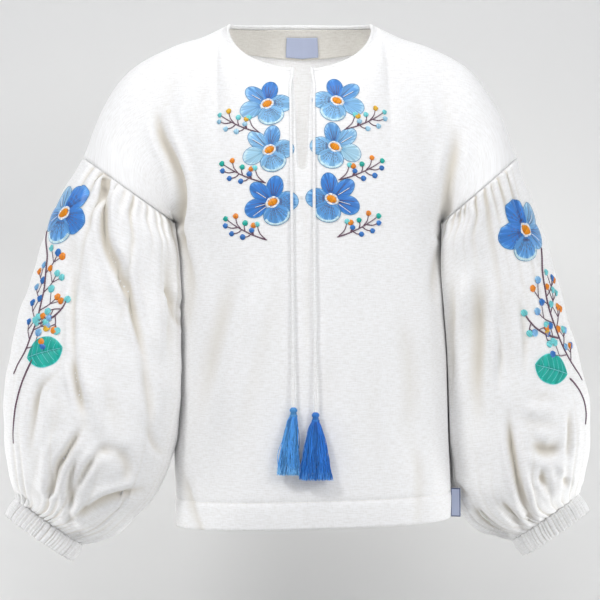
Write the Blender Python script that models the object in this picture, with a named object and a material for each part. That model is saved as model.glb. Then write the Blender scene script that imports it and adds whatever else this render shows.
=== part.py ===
"""Embroidered linen folk blouse, filled out as it is worn and empty inside.

The origin is the middle of the neck at the height of the neck points. +X is the viewer's
right, +Z is up, and the front of the blouse faces -Y. Front and back meet in shoulder and
side seams and have dropped shoulders. Full sleeves are gathered into the dropped seams and
into ruched cuffs. A narrow binding finishes the neck, and two ties with tassels hang from
the top of the neck slit. Left and right are the viewer's.
"""

import math
from collections import namedtuple

import bmesh
import bpy
import numpy as np
from mathutils import Vector

# Cloth and seams, in metres
WALL = 0.0014
SEAM_GAP = 0.0004
LAYER_GAP = 0.0006
HEM_DEPTH = 0.025
HEM_WALL = 0.0026

# Body
CENTRE_X = 0.002
UNDERARM_Z = -0.188
HEM_Z = -0.4705
HEM_SLOPE = 0.028
BODY_SQUARENESS = 2.4

# Place of the hem's stitching on the way from the underarm (1) to the hem (2), and its width
HEM_STITCH = 2.0 - HEM_DEPTH / (UNDERARM_Z - HEM_Z)
HEM_STEP = 0.005

# Neckline
NECK_POINT_SHARE = 0.36
NECK_FRONT_Y = -0.060
NECK_FRONT_Z = -0.050
NECK_BACK_Y = 0.050
NECK_BACK_Z = 0.002

# Neck slit
SLIT_FOOT_Z = -0.143
SLIT_ROUND = 0.003

# Neck binding
BINDING_HEIGHT = 0.0040
BINDING_THICK = 0.0026
BINDING_END = 0.0030

# Back neck facing
FACING_SHARE = 0.36
FACING_FALL = 0.235

# Sleeves and cuffs
SLEEVE_COLUMNS = 48
SLEEVE_CLEARANCE = 0.0017
SEAM_GATHER = 0.0021
SEAM_PUFF = 0.0030
UNDERARM_TUCK = 0.0009
CUFF_GATHER = 0.0020
CUFF_COLUMNS = 72
CUFF_HEIGHT = 0.0185
CUFF_RIDGE = 0.0010
CUFF_WALL = 0.0018

# Ties and tassels
TIE_RADIUS = 0.0013
TIE_LIFT = 0.0009
TIE_POINTS = 42
TIE_BEND_POINTS = 9
TIE_BEND_DROP = 0.014
TASSEL_HEAD_RADIUS = 0.0034
TASSEL_HEAD_LENGTH = 0.0085
TASSEL_STAND_OFF = 0.0030
TASSEL_SKIRT = 0.0540
TASSEL_DEPTH = 0.0050
TASSEL_LEAN_FORWARD = 0.0030
TASSEL_FOOT_SWELL = 1.05
TASSEL_FLATNESS = 0.8
TASSEL_RINGS = 3
LOCK_TAPER = 0.8
LOCK_ROOT_INSET = 0.00012

# Labels
NECK_LABEL_WIDTH = 0.031
NECK_LABEL_HEIGHT = 0.021
LABEL_DROP = 0.0085
SIDE_LABEL_HEIGHT = 0.0275
SIDE_LABEL_SHARE = 0.955
SIDE_LABEL_WIDTH = 0.0086
SIDE_LABEL_LEAN = 0.0020
LABEL_WALL = 0.0010

# Half widths and depths of the body, from the centre line
Body = namedtuple("Body", "z left right front back")
BODY_SECTIONS = (
    Body(-0.188, 0.1205, 0.1320, 0.0955, 0.0860),
    Body(-0.230, 0.1185, 0.1325, 0.0965, 0.0885),
    Body(-0.296, 0.1190, 0.1360, 0.0980, 0.0910),
    Body(-0.376, 0.1205, 0.1385, 0.0990, 0.0930),
    Body(-0.430, 0.1205, 0.1400, 0.0995, 0.0940),
    Body(-0.480, 0.1190, 0.1405, 0.0995, 0.0940),
)

# Shoulder seam, from the neck point to the outer end of the dropped seam
Ridge = namedtuple("Ridge", "share x z")
RIDGE = (
    Ridge(0.000, 0.0695, -0.0015),
    Ridge(0.116, 0.0900, -0.0115),
    Ridge(0.296, 0.1235, -0.0225),
    Ridge(0.525, 0.1625, -0.0450),
    Ridge(0.724, 0.1850, -0.0765),
    Ridge(1.000, 0.2050, -0.1270),
)

# How far round the body each line of the cloth comes down from its top edge
Column = namedtuple("Column", "share degrees")
COLUMNS = (
    Column(0.00, 0.0),
    Column(0.36, 34.0),
    Column(0.60, 61.0),
    Column(0.80, 76.0),
    Column(1.00, 90.0),
)

# Handles of the curve that each of those lines follows down to the underarm level
Drape = namedtuple("Drape", "share top_x top_y top_z foot_x foot_y foot_z")
FRONT_DRAPE = (
    Drape(0.00, 0.000, -0.020, -0.029, 0.000, -0.001, 0.052),
    Drape(0.36, 0.014, -0.044, -0.005, 0.001, 0.002, 0.083),
    Drape(0.60, 0.002, -0.050, -0.004, 0.010, -0.006, 0.062),
    Drape(0.80, 0.006, -0.058, -0.008, 0.008, -0.040, 0.042),
    Drape(1.00, 0.000, -0.085, 0.000, 0.000, -0.080, 0.000),
)
BACK_DRAPE = (
    Drape(0.00, 0.000, 0.016, -0.030, 0.000, 0.002, 0.075),
    Drape(0.36, 0.018, 0.037, -0.008, 0.004, 0.000, 0.086),
    Drape(0.60, 0.002, 0.048, -0.004, 0.010, 0.006, 0.066),
    Drape(0.80, 0.006, 0.056, -0.008, 0.008, 0.038, 0.042),
    Drape(1.00, 0.000, 0.085, 0.000, 0.000, 0.080, 0.000),
)

# Half width of the open slit at each height
Slit = namedtuple("Slit", "z half")
SLIT = (
    Slit(-0.140, 0.0036),
    Slit(-0.122, 0.0047),
    Slit(-0.085, 0.0062),
    Slit(-0.050, 0.0095),
)

# Soft folds of the body: degrees from the centre, heights between which each runs, and depth
BodyFold = namedtuple("BodyFold", "face side degrees top foot depth width")
BODY_FOLDS = (
    BodyFold(-1, -1, 66.0, -0.150, -0.480, 0.0030, 9.0),
    BodyFold(-1, -1, 40.0, -0.300, -0.500, 0.0018, 10.0),
    BodyFold(-1, 1, 68.0, -0.150, -0.480, 0.0032, 9.0),
    BodyFold(-1, 1, 45.0, -0.290, -0.500, 0.0018, 10.0),
    BodyFold(1, -1, 62.0, -0.140, -0.480, 0.0032, 10.0),
    BodyFold(1, -1, 24.0, -0.120, -0.490, 0.0028, 9.0),
    BodyFold(1, 1, 60.0, -0.150, -0.480, 0.0030, 10.0),
    BodyFold(1, 1, 20.0, -0.160, -0.500, 0.0026, 9.0),
)

# Sleeve outline seen from the front: outer and inner edge of each section, and its half depth
Sleeve = namedtuple(
    "Sleeve", "row left_outer right_outer outer_z left_inner right_inner inner_z depth square"
)
SLEEVE_SECTIONS = (
    Sleeve(0.0, 0.2050, 0.2050, -0.1270, 0.1185, 0.1340, -0.1880, 0.0620, 2.0),
    Sleeve(1.0, 0.2160, 0.2110, -0.1450, 0.1190, 0.1350, -0.2030, 0.0680, 2.1),
    Sleeve(2.0, 0.2280, 0.2205, -0.1667, 0.1160, 0.1320, -0.2210, 0.0690, 2.2),
    Sleeve(3.0, 0.2404, 0.2318, -0.1971, 0.1140, 0.1300, -0.2430, 0.0690, 2.2),
    Sleeve(4.0, 0.2537, 0.2451, -0.2427, 0.1130, 0.1300, -0.2790, 0.0690, 2.2),
    Sleeve(5.0, 0.2641, 0.2550, -0.2750, 0.1130, 0.1310, -0.3000, 0.0690, 2.2),
    Sleeve(6.0, 0.2727, 0.2665, -0.3140, 0.1130, 0.1330, -0.3377, 0.0700, 2.2),
    Sleeve(7.0, 0.2774, 0.2774, -0.3567, 0.1170, 0.1360, -0.3757, 0.0710, 2.2),
    Sleeve(8.0, 0.2758, 0.2785, -0.3947, 0.1264, 0.1425, -0.4137, 0.0690, 2.2),
    Sleeve(9.0, 0.2717, 0.2746, -0.4232, 0.1378, 0.1455, -0.4450, 0.0620, 2.2),
    Sleeve(10.0, 0.2695, 0.2725, -0.4350, 0.1570, 0.1570, -0.4680, 0.0500, 2.1),
    Sleeve(11.0, 0.2675, 0.2690, -0.4420, 0.1780, 0.1780, -0.4835, 0.0340, 2.0),
    Sleeve(12.0, 0.2660, 0.2660, -0.4479, 0.2043, 0.2043, -0.4907, 0.0170, 2.0),
)
SLEEVE_ROWS = (0, 0.35, 0.9, 1.6, 2.4, 3.3, 4.2, 5.1, 6.0, 6.9, 7.7, 8.5, 9.2, 9.8, 10.5, 11.2, 12)

# How far each sleeve hangs forward of the shoulder, by row
Swing = namedtuple("Swing", "row left right")
SLEEVE_SWING = (
    Swing(0.0, 0.000, 0.000),
    Swing(3.0, -0.010, 0.013),
    Swing(7.0, -0.028, 0.028),
    Swing(12.0, -0.022, 0.022),
)

# Long folds of the sleeves: angle from the outer edge through the front, rows, lean and depth
SleeveFold = namedtuple("SleeveFold", "side angle lean top foot depth width")
SLEEVE_FOLDS = (
    SleeveFold(-1, 72.0, 5.0, 0.2, 6.5, 0.0060, 9.0),
    SleeveFold(-1, 128.0, -3.0, 0.3, 5.0, 0.0045, 10.0),
    SleeveFold(-1, 66.0, 2.0, 5.5, 12.2, 0.0050, 9.0),
    SleeveFold(-1, 104.0, -2.0, 6.8, 12.2, 0.0065, 10.0),
    SleeveFold(-1, 146.0, -3.0, 7.2, 12.2, 0.0050, 10.0),
    SleeveFold(-1, 214.0, 2.0, 0.3, 6.0, 0.0050, 11.0),
    SleeveFold(-1, 262.0, -3.0, 0.3, 7.0, 0.0060, 10.0),
    SleeveFold(-1, 236.0, 2.0, 6.4, 12.2, 0.0055, 10.0),
    SleeveFold(-1, 290.0, -2.0, 7.0, 12.2, 0.0060, 10.0),
    SleeveFold(1, 78.0, 4.0, 0.2, 6.0, 0.0055, 9.0),
    SleeveFold(1, 124.0, -3.0, 0.3, 5.5, 0.0050, 10.0),
    SleeveFold(1, 62.0, 1.0, 6.2, 12.2, 0.0060, 9.0),
    SleeveFold(1, 98.0, -2.0, 6.0, 12.2, 0.0055, 10.0),
    SleeveFold(1, 142.0, -2.0, 7.0, 12.2, 0.0050, 10.0),
    SleeveFold(1, 218.0, 3.0, 0.3, 6.5, 0.0050, 11.0),
    SleeveFold(1, 268.0, -2.0, 0.3, 6.0, 0.0055, 10.0),
    SleeveFold(1, 232.0, 1.0, 6.8, 12.2, 0.0055, 10.0),
    SleeveFold(1, 284.0, -2.0, 6.6, 12.2, 0.0060, 10.0),
)

# The turn of a tie out of the binding's end: towards the slit, forward and down
Bend = namedtuple("Bend", "inward forward down")
TIE_BEND = (
    Bend(0.0007, 0.0000, 0.0000),
    Bend(0.0017, 0.0000, 0.0000),
    Bend(0.0026, 0.0020, -0.0006),
    Bend(0.0027, 0.0052, 0.0014),
    Bend(0.0026, 0.0080, 0.0055),
)

# Sideways place of each tie at each height, and the height of its lower end
Tie = namedtuple("Tie", "share left right")
TIE_PLACES = (
    Tie(0.0, -0.0087, 0.0127),
    Tie(0.3, -0.0078, 0.0128),
    Tie(1.0, -0.0059, 0.0141),
)
Tassel = namedtuple("Tassel", "side spread lean")
TASSELS = (Tassel(-1, 0.0090, -0.0046), Tassel(1, 0.0135, 0.0003))
TIE_FOOT_LEFT = -0.3588
TIE_FOOT_RIGHT = -0.3633


def bump(t):
    """A soft rise and fall between 0 and 1, and nothing outside them."""
    t = np.clip(t, 0.0, 1.0)
    return np.sin(np.pi * t) ** 1.2


def through(table, at):
    """Every column after the first, at places of the first column, on a smooth curve through the rows."""
    rows = np.array(table, float)
    if rows[0, 0] > rows[-1, 0]:
        rows = rows[::-1]
    x, y = rows[:, 0], rows[:, 1:]
    slope = np.gradient(y, x, axis=0)
    at = np.clip(np.atleast_1d(np.asarray(at, float)), x[0], x[-1])
    i = np.clip(np.searchsorted(x, at, side="right") - 1, 0, len(x) - 2)
    h = (x[i + 1] - x[i])[:, None]
    t = (at - x[i])[:, None] / h
    start = (1 + 2 * t) * (1 - t) ** 2 * y[i] + t * (1 - t) ** 2 * h * slope[i]
    end = t * t * (3 - 2 * t) * y[i + 1] + t * t * (t - 1) * h * slope[i + 1]
    return start + end


def body_folds(z, side, degrees, face):
    """How deep the body's folds press in at each place."""
    depth = np.zeros(np.shape(z))
    for fold in BODY_FOLDS:
        if fold.face != face:
            continue
        run = bump((fold.top - z) / (fold.top - fold.foot))
        across = np.exp(-(((side * degrees - fold.side * fold.degrees) / fold.width) ** 2))
        depth += fold.depth * run * across
    return depth


def body_ring(z, side, degrees, face):
    """Points of the body at heights z: face -1 is the front and +1 the back."""
    left, right, front, back = through(BODY_SECTIONS, z).T
    press = body_folds(z, side, degrees, face)
    half = np.where(side < 0, left, right) - press
    reach = (front if face < 0 else back) - press
    angle = np.radians(degrees)
    power = 2.0 / BODY_SQUARENESS
    x = CENTRE_X + side * half * np.abs(np.sin(angle)) ** power
    y = face * reach * np.abs(np.cos(angle)) ** power
    return np.stack([x, y, np.broadcast_to(z, x.shape)], -1)


def top_edge(side, share, face):
    """The neckline up to the neck point, and then the shoulder seam."""
    turn = np.radians(90.0) * np.clip(share / NECK_POINT_SHARE, 0.0, 1.0)
    reach = NECK_FRONT_Y if face < 0 else NECK_BACK_Y
    middle = NECK_FRONT_Z if face < 0 else NECK_BACK_Z
    neck_x = side * RIDGE[0].x * np.sin(turn) + CENTRE_X * np.cos(turn) ** 2
    neck_z = RIDGE[0].z + (middle - RIDGE[0].z) * np.cos(turn)
    along = np.clip((share - NECK_POINT_SHARE) / (1.0 - NECK_POINT_SHARE), 0.0, 1.0)
    ridge_x, ridge_z = through(RIDGE, along).T
    on_neck = share < NECK_POINT_SHARE
    x = np.where(on_neck, neck_x, side * ridge_x)
    y = np.where(on_neck, reach * np.cos(turn), 0.0)
    z = np.where(on_neck, neck_z, ridge_z)
    return np.stack([x, y, z], -1)


def body_points(share, fall, face):
    """Points of a body panel: the share is negative on the left, and the fall is 0 at the top
    edge, 1 at the underarm level and 2 at the hem."""
    share, fall = (a.ravel() for a in np.broadcast_arrays(np.asarray(share, float), fall))
    side = np.where(share < 0, -1.0, 1.0)
    share = np.abs(share)
    degrees = through(COLUMNS, share)[:, 0]
    top = top_edge(side, share, face)
    foot = body_ring(np.full(share.shape, UNDERARM_Z), side, degrees, face)
    pull = through(FRONT_DRAPE if face < 0 else BACK_DRAPE, share)
    pull[:, 0] *= side
    pull[:, 3] *= side
    t = np.clip(fall, 0.0, 1.0)[:, None]
    upper = (
        (1 - t) ** 3 * top
        + 3 * (1 - t) ** 2 * t * (top + pull[:, :3])
        + 3 * (1 - t) * t * t * (foot + pull[:, 3:])
        + t**3 * foot
    )
    hem = HEM_Z + HEM_SLOPE * (foot[:, 0] - CENTRE_X)
    down = np.clip(fall - 1.0, 0.0, 1.0)
    lower = body_ring(UNDERARM_Z + (hem - UNDERARM_Z) * down, side, degrees, face)
    points = np.where(fall[:, None] > 1.0, lower, upper)
    points[:, 1] = face * np.maximum(face * points[:, 1], 0.5 * SEAM_GAP)
    return points


def armhole_normal(side):
    """Unit normal of the plane of a dropped seam, pointing into the sleeve."""
    top = body_points(side * 1.0, 0.0, -1)[0]
    foot = body_points(side * 1.0, 1.0, -1)[0]
    slope = top - foot
    normal = np.array([side * slope[2], 0.0, -abs(slope[0])])
    return normal / np.linalg.norm(normal)


def grid_quads(rows, columns, wrap=False):
    """Faces of a grid whose points run along each row in turn."""
    last = columns if wrap else columns - 1
    i, j = np.meshgrid(np.arange(rows - 1), np.arange(last), indexing="ij")
    k = (j + 1) % columns
    quads = np.stack([i * columns + j, (i + 1) * columns + j, (i + 1) * columns + k, i * columns + k], -1)
    return quads.reshape(-1, 4)


def vertex_normals(points, quads):
    """Unit normals of a surface at its points, from the faces round each."""
    normals = np.zeros_like(points)
    a, b, c, d = (points[quads[:, i]] for i in range(4))
    facing = np.cross(c - a, d - b)
    for i in range(4):
        np.add.at(normals, quads[:, i], facing)
    return unit(normals)


def unit(vectors):
    """The same directions with length 1."""
    return vectors / np.maximum(np.linalg.norm(vectors, axis=-1, keepdims=True), 1e-12)


def without(normals, rows, direction):
    """Turns the normals of a seam's points into the plane of the seam."""
    direction = np.asarray(direction, float)
    kept = normals[rows] - (normals[rows] @ direction)[:, None] * direction
    normals[rows] = unit(kept)


def finish(name, colour, roughness):
    """A plain material for one kind of cloth or thread."""
    material = bpy.data.materials.get(name)
    if material is None:
        material = bpy.data.materials.new(name)
        material.use_nodes = True
        shader = material.node_tree.nodes["Principled BSDF"]
        shader.inputs["Base Color"].default_value = (*colour, 1.0)
        shader.inputs["Roughness"].default_value = roughness
        shader.inputs["Metallic"].default_value = 0.0
    return material


def linen():
    """Off-white cloth of the blouse."""
    return finish("linen", (0.86, 0.85, 0.81), 0.85)


def facing_cloth():
    """Greyer cloth inside the neck."""
    return finish("facing", (0.62, 0.60, 0.56), 0.88)


def label_tape():
    """Pale blue woven tape."""
    return finish("label tape", (0.60, 0.68, 0.82), 0.6)


def floss(colour):
    """Blue thread of a tassel."""
    return finish("floss " + ("light" if colour[1] > 0.3 else "deep"), colour, 0.5)


def add_object(name, mesh, material):
    """Puts a mesh into the scene as one named piece."""
    mesh.materials.append(material)
    mesh.shade_smooth()
    obj = bpy.data.objects.new(name, mesh)
    bpy.context.scene.collection.objects.link(obj)
    return obj


def shell(name, material, outer, inner, quads):
    """A closed wall between two skins that share one layout of faces."""
    count = len(outer)
    edges = {(q[i], q[(i + 1) % 4]) for q in quads.tolist() for i in range(4)}
    rim = [(b, a, a + count, b + count) for a, b in edges if (b, a) not in edges]
    halves = np.concatenate([quads[:, [0, 1, 2]], quads[:, [0, 2, 3]]])
    faces = halves.tolist() + (halves[:, ::-1] + count).tolist() + sorted(rim)
    centre = 0.5 * (outer.min(axis=0) + outer.max(axis=0))
    mesh = bpy.data.meshes.new(name)
    mesh.from_pydata((np.concatenate([outer, inner]) - centre).tolist(), [], faces)
    obj = add_object(name, mesh, material)
    obj.location = Vector(centre)
    return obj


def body_grid(shares, falls, face, slit=False):
    """Points, faces and grid places of a body panel. A slit leaves its middle line open above its foot."""
    if not slit:
        share, fall = np.meshgrid(shares, falls)
        quads = grid_quads(len(falls), len(shares))
        if face > 0:
            quads = quads[:, ::-1]
        return body_points(share, fall, face), quads, share.ravel(), fall.ravel()
    middle = len(shares) // 2
    share, fall = np.meshgrid(shares, falls)
    points = body_points(share, fall, face)
    open_rows = np.flatnonzero(points[middle :: len(shares), 2] > SLIT_FOOT_Z + 1e-6)
    quads = grid_quads(len(falls), len(shares))
    left = open_rows * len(shares) + middle
    right = len(points) + open_rows
    half = through(SLIT, points[left, 2])[:, 0]
    twins = points[left].copy()
    points[left, 0] -= half
    twins[:, 0] += half
    on_right = (quads % len(shares)).min(axis=1) >= middle
    swap = dict(zip(left.tolist(), right.tolist()))
    quads[on_right] = np.vectorize(lambda v: swap.get(int(v), int(v)))(quads[on_right])
    points = np.concatenate([points, twins])
    share = np.concatenate([share.ravel(), shares[middle] + np.zeros(len(twins))])
    fall = np.concatenate([fall.ravel(), falls[open_rows]])
    return points, quads, share, fall


def seam_rows(share, fall, face):
    """Points of the shoulder and side seams, and of the dropped seam, of a body panel."""
    edge = np.abs(share)
    shoulder = (fall == 0.0) & (edge >= NECK_POINT_SHARE)
    side = (edge == 1.0) & (fall >= 1.0)
    armhole = (edge == 1.0) & (fall <= 1.0)
    return shoulder | side, armhole


def body_shares():
    """Lines of the cloth from the left side seam to the right, closer along the neckline."""
    inner = np.linspace(0.0, NECK_POINT_SHARE, 7)
    outer = np.linspace(NECK_POINT_SHARE, 1.0, 8)[1:]
    half = np.concatenate([inner, outer])
    return np.concatenate([-half[:0:-1], half])


def hem_falls():
    """Rows from below the underarm to the hem, with a close pair at the hem's stitching."""
    rows = np.linspace(1.0, HEM_STITCH, 8)[1:]
    return np.concatenate([rows, [HEM_STITCH + HEM_STEP, 2.0]])


def front_falls():
    """Rows of the front, with one at the foot of the slit."""
    fine = np.linspace(0.0, 1.0, 400)
    heights = body_points(0.0, fine, -1)[:, 2]
    foot = float(np.interp(-SLIT_FOOT_Z, -heights, fine))
    rounded = float(np.interp(-SLIT_FOOT_Z - SLIT_ROUND, -heights, fine))
    upper = np.linspace(0.0, rounded, 8)
    return np.concatenate([upper, [foot], np.linspace(foot, 1.0, 4)[1:], hem_falls()])


def back_falls():
    """Rows of the back, with one at the foot of the facing."""
    upper = np.linspace(0.0, FACING_FALL, 4)
    return np.concatenate([upper, np.linspace(FACING_FALL, 1.0, 8)[1:], hem_falls()])


Panel = namedtuple("Panel", "points normals quads share fall shares falls")


def body_panel(name, face):
    """The front or the back."""
    shares, falls = body_shares(), front_falls() if face < 0 else back_falls()
    points, quads, share, fall = body_grid(shares, falls, face, slit=face < 0)
    normals = vertex_normals(points, quads)
    middle, armhole = seam_rows(share, fall, face)
    without(normals, middle, (0.0, 1.0, 0.0))
    for side in (-1, 1):
        without(normals, armhole & (np.sign(share) == side), armhole_normal(side))
    without(normals, middle & armhole, (0.0, 1.0, 0.0))
    wall = np.where(fall > HEM_STITCH + 0.5 * HEM_STEP, HEM_WALL, WALL)[:, None]
    shell(name, linen(), points, points - normals * wall, quads)
    return Panel(points, normals, quads, share, fall, shares, falls)


def on_panel(panel, shares, falls, lift):
    """A grid of points that lies on a panel's own faces, moved out from them by the lift."""
    columns = len(panel.shares)
    grid = np.concatenate([panel.points, panel.normals], axis=1)[: columns * len(panel.falls)]
    grid = grid.reshape(len(panel.falls), columns, 6)
    at_row = np.interp(falls, panel.falls, np.arange(len(panel.falls)))
    at_column = np.interp(shares, panel.shares, np.arange(columns))
    i = np.minimum(at_row.astype(int), len(panel.falls) - 2)[:, None]
    j = np.minimum(at_column.astype(int), columns - 2)[None, :]
    down, over = (at_row[:, None] - i)[..., None], (at_column[None, :] - j)[..., None]
    near = grid[i, j] * (1 - over) + grid[i, j + 1] * over
    far = grid[i + 1, j] * (1 - over) + grid[i + 1, j + 1] * over
    mixed = (near * (1 - down) + far * down).reshape(-1, 6)
    return mixed[:, :3] + unit(mixed[:, 3:]) * lift


def neckline(panel):
    """Points and normals along the neck edge, from the left neck point to the right."""
    row = np.flatnonzero((panel.fall == 0.0) & (np.abs(panel.share) <= NECK_POINT_SHARE + 1e-9))
    row = row[np.argsort(panel.points[row, 0])]
    return panel.points[row], panel.normals[row]


def neck_binding(front, back):
    """The narrow strip round the neck, open at the slit."""
    half = len(neckline(front)[0]) // 2
    loops = []
    for rows in zip(neckline(front), neckline(back)):
        left, right, rear = rows[0][:half], rows[0][half:], rows[1]
        loops.append(np.concatenate([left[::-1], rear[1:-1], right[::-1]]))
    points, normals = loops
    path = points.copy()
    path[0] += unit(points[1] - points[0]) * BINDING_END
    path[-1] += unit(points[-2] - points[-1]) * BINDING_END
    outward = unit(normals)
    along = unit(np.gradient(path, axis=0))
    away = unit(np.cross(along, outward))
    to_axis = np.array([CENTRE_X, 0.0, 0.02]) - path
    away *= np.sign(np.sum(away * to_axis, axis=1))[:, None]
    centre = path + away * (LAYER_GAP + 0.5 * BINDING_HEIGHT) - outward * 0.5 * WALL
    corners = []
    for turn in np.radians(np.arange(30.0, 390.0, 60.0)):
        high = 0.5 * BINDING_HEIGHT * math.sin(turn)
        wide = 0.5 * BINDING_THICK * math.cos(turn) / math.cos(math.radians(30.0))
        corners.append(centre + away * high + outward * wide)
    rings = np.stack(corners, axis=1)
    closed_tube("neck_binding", linen(), rings)
    return centre[0], centre[-1]


def closed_tube(name, material, rings):
    """A solid through rings of points, with flat ends."""
    count, around = rings.shape[:2]
    quads = grid_quads(count, around, wrap=True).tolist()
    first = list(range(around))
    last = [(count - 1) * around + i for i in range(around)]
    mesh = bpy.data.meshes.new(name)
    mesh.from_pydata(rings.reshape(-1, 3).tolist(), [], quads + [first, last[::-1]])
    bm = bmesh.new()
    bm.from_mesh(mesh)
    bmesh.ops.recalc_face_normals(bm, faces=bm.faces)
    bm.to_mesh(mesh)
    bm.free()
    return add_object(name, mesh, material)


def back_neck_facing(back):
    """The layer inside the back of the neck, made from the back's own points, moved inwards."""
    shares = back.shares[np.abs(back.shares) <= FACING_SHARE + 1e-9]
    falls = back.falls[back.falls <= FACING_FALL + 1e-9]
    outer = on_panel(back, shares, falls, -WALL - LAYER_GAP)
    inner = on_panel(back, shares, falls, -2.0 * WALL - LAYER_GAP)
    quads = grid_quads(len(falls), len(shares))[:, ::-1]
    shell("back_neck_facing", facing_cloth(), outer, inner, quads)


def neck_label(back):
    """The woven label on the facing, below the back of the neck."""
    middle = len(back.shares) // 2
    step = np.linalg.norm(back.points[middle + 1] - back.points[middle])
    share = 0.5 * NECK_LABEL_WIDTH / step * back.shares[middle + 1]
    line = on_panel(back, np.zeros(1), back.falls, 0.0)
    run = np.concatenate([[0.0], np.cumsum(np.linalg.norm(np.diff(line, axis=0), axis=1))])
    falls = np.interp([LABEL_DROP, LABEL_DROP + NECK_LABEL_HEIGHT], run, back.falls)
    shares, falls = np.linspace(-share, share, 5), np.linspace(*falls, 4)
    lift = -2.0 * WALL - 2.0 * LAYER_GAP
    quads = grid_quads(4, 5)[:, ::-1]
    outer = on_panel(back, shares, falls, lift)
    shell("neck_label", label_tape(), outer, on_panel(back, shares, falls, lift - LABEL_WALL), quads)


def side_label(front):
    """The small folded label that stands out of the right side seam and faces the front."""
    top = 2.0 - SIDE_LABEL_HEIGHT / (UNDERARM_Z - HEM_Z)
    root = on_panel(front, np.array([SIDE_LABEL_SHARE]), np.linspace(top, 1.999, 4), LAYER_GAP)
    steps = np.linspace(0.0, 1.0, 4)
    away = np.stack([SIDE_LABEL_WIDTH * steps, -SIDE_LABEL_LEAN * steps**2, 0.0 * steps], -1)
    outer = (root[:, None] + away[None]).reshape(-1, 3)
    shell("side_label", label_tape(), outer, outer + np.array([0.0, LABEL_WALL, 0.0]), grid_quads(4, 4))


def sleeve_relief(side, row, turn):
    """How far the gathers and folds of a sleeve stand out of its plain form."""
    degrees = np.degrees(turn)
    columns = np.round(turn / (2.0 * np.pi) * SLEEVE_COLUMNS)
    ridge = np.where(columns % 2 == 0, 1.0, -1.0)
    uneven = 0.75 + 0.25 * np.sin(2.3 * columns + side) * np.cos(0.7 * columns)
    gathered = 1.0 - np.exp(-((np.minimum(degrees, 360.0 - degrees) / 44.0) ** 4))
    seam = SEAM_GATHER * gathered * np.clip(row / 0.35, 0.4, 1.0) * np.exp(-row / 2.2)
    cuff = CUFF_GATHER * np.exp(-(12.0 - row) / 1.1) * np.clip((12.0 - row) / 0.5 + 0.55, 0.0, 1.0)
    puff = SEAM_PUFF * gathered * np.clip(row / 0.35, 0.0, 1.0) * np.exp(-row / 1.5)
    underarm = np.exp(-(((degrees - 180.0) / 14.0) ** 2)) * np.exp(-row / 0.6)
    height = (ridge * uneven * (seam + cuff) + puff) * (1.0 - underarm) - UNDERARM_TUCK * underarm
    for fold in SLEEVE_FOLDS:
        if fold.side != side:
            continue
        run = bump((row - fold.top) / (fold.foot - fold.top))
        middle = fold.angle + fold.lean * (row - 6.0)
        apart = (degrees - middle + 180.0) % 360.0 - 180.0
        height = height - fold.depth * run * np.exp(-((apart / fold.width) ** 2))
    return height


def clear_of_body(points, clearance):
    """Moves points out from the body's line until they stand clear of its side."""
    left, right, front, back = through(BODY_SECTIONS, points[:, 2]).T
    x = (points[:, 0] - CENTRE_X) / np.where(points[:, 0] < CENTRE_X, left, right)
    y = points[:, 1] / np.where(points[:, 1] < 0, front, back)
    power = BODY_SQUARENESS
    reach = (np.abs(x) ** power + np.abs(y) ** power) ** (1.0 / power)
    wanted = 1.0 + clearance / left
    push = np.maximum(wanted / np.maximum(reach, 1e-6), 1.0)
    moved = points.copy()
    moved[:, 0] = CENTRE_X + (points[:, 0] - CENTRE_X) * push
    moved[:, 1] = points[:, 1] * push
    return moved


def sleeve_section(side, row):
    """Centre, half width along the section, its half depth and squareness, at one row."""
    left, right, top_z, left_in, right_in, foot_z, depth, square = through(SLEEVE_SECTIONS, row)[0]
    outer = side * (left if side < 0 else right)
    inner = side * (left_in if side < 0 else right_in)
    swing = through(SLEEVE_SWING, row)[0][0 if side < 0 else 1]
    centre = np.array([0.5 * (outer + inner), swing, 0.5 * (top_z + foot_z)])
    half = np.array([0.5 * (outer - inner), 0.0, 0.5 * (top_z - foot_z)])
    return centre, half, depth, square


def sleeve_ring(side, row, turn):
    """Points round a sleeve: the turn runs from the outer edge through the front."""
    centre, half, depth, square = sleeve_section(side, row)
    power = 2.0 / square
    wide = np.sign(np.cos(turn)) * np.abs(np.cos(turn)) ** power
    deep = np.sign(np.sin(turn)) * np.abs(np.sin(turn)) ** power
    points = centre + wide[:, None] * half - deep[:, None] * np.array([0.0, depth, 0.0])
    if row == 0:
        fall = np.where(turn <= np.pi, turn, 2.0 * np.pi - turn) / np.pi
        front = body_points(side * 1.0, fall, -1)
        back = body_points(side * 1.0, fall, 1)
        points = np.where((turn <= np.pi)[:, None], front, back) + armhole_normal(side) * SEAM_GAP
    across = np.cross(half, (0.0, 1.0, 0.0))
    out = points - centre
    out = unit(out - np.outer(out @ unit(across), unit(across)))
    return points + out * sleeve_relief(side, row, turn)[:, None]


def sleeve(side, name):
    """A full sleeve from the dropped seam to the cuff."""
    turn = np.linspace(0.0, 2.0 * np.pi, SLEEVE_COLUMNS, endpoint=False)
    rows = []
    for row in SLEEVE_ROWS:
        ring = sleeve_ring(side, row, turn)
        if row > 0:
            ring = clear_of_body(ring, SLEEVE_CLEARANCE)
        rows.append(ring)
    points = np.concatenate(rows)
    quads = grid_quads(len(SLEEVE_ROWS), SLEEVE_COLUMNS, wrap=True)
    if side > 0:
        quads = quads[:, ::-1]
    normals = vertex_normals(points, quads)
    first = np.arange(len(points)) < SLEEVE_COLUMNS
    last = np.arange(len(points)) >= len(points) - SLEEVE_COLUMNS
    without(normals, first, armhole_normal(side))
    without(normals, last, cuff_axis(side))
    shell(name, linen(), points, points - normals * WALL, quads)


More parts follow.
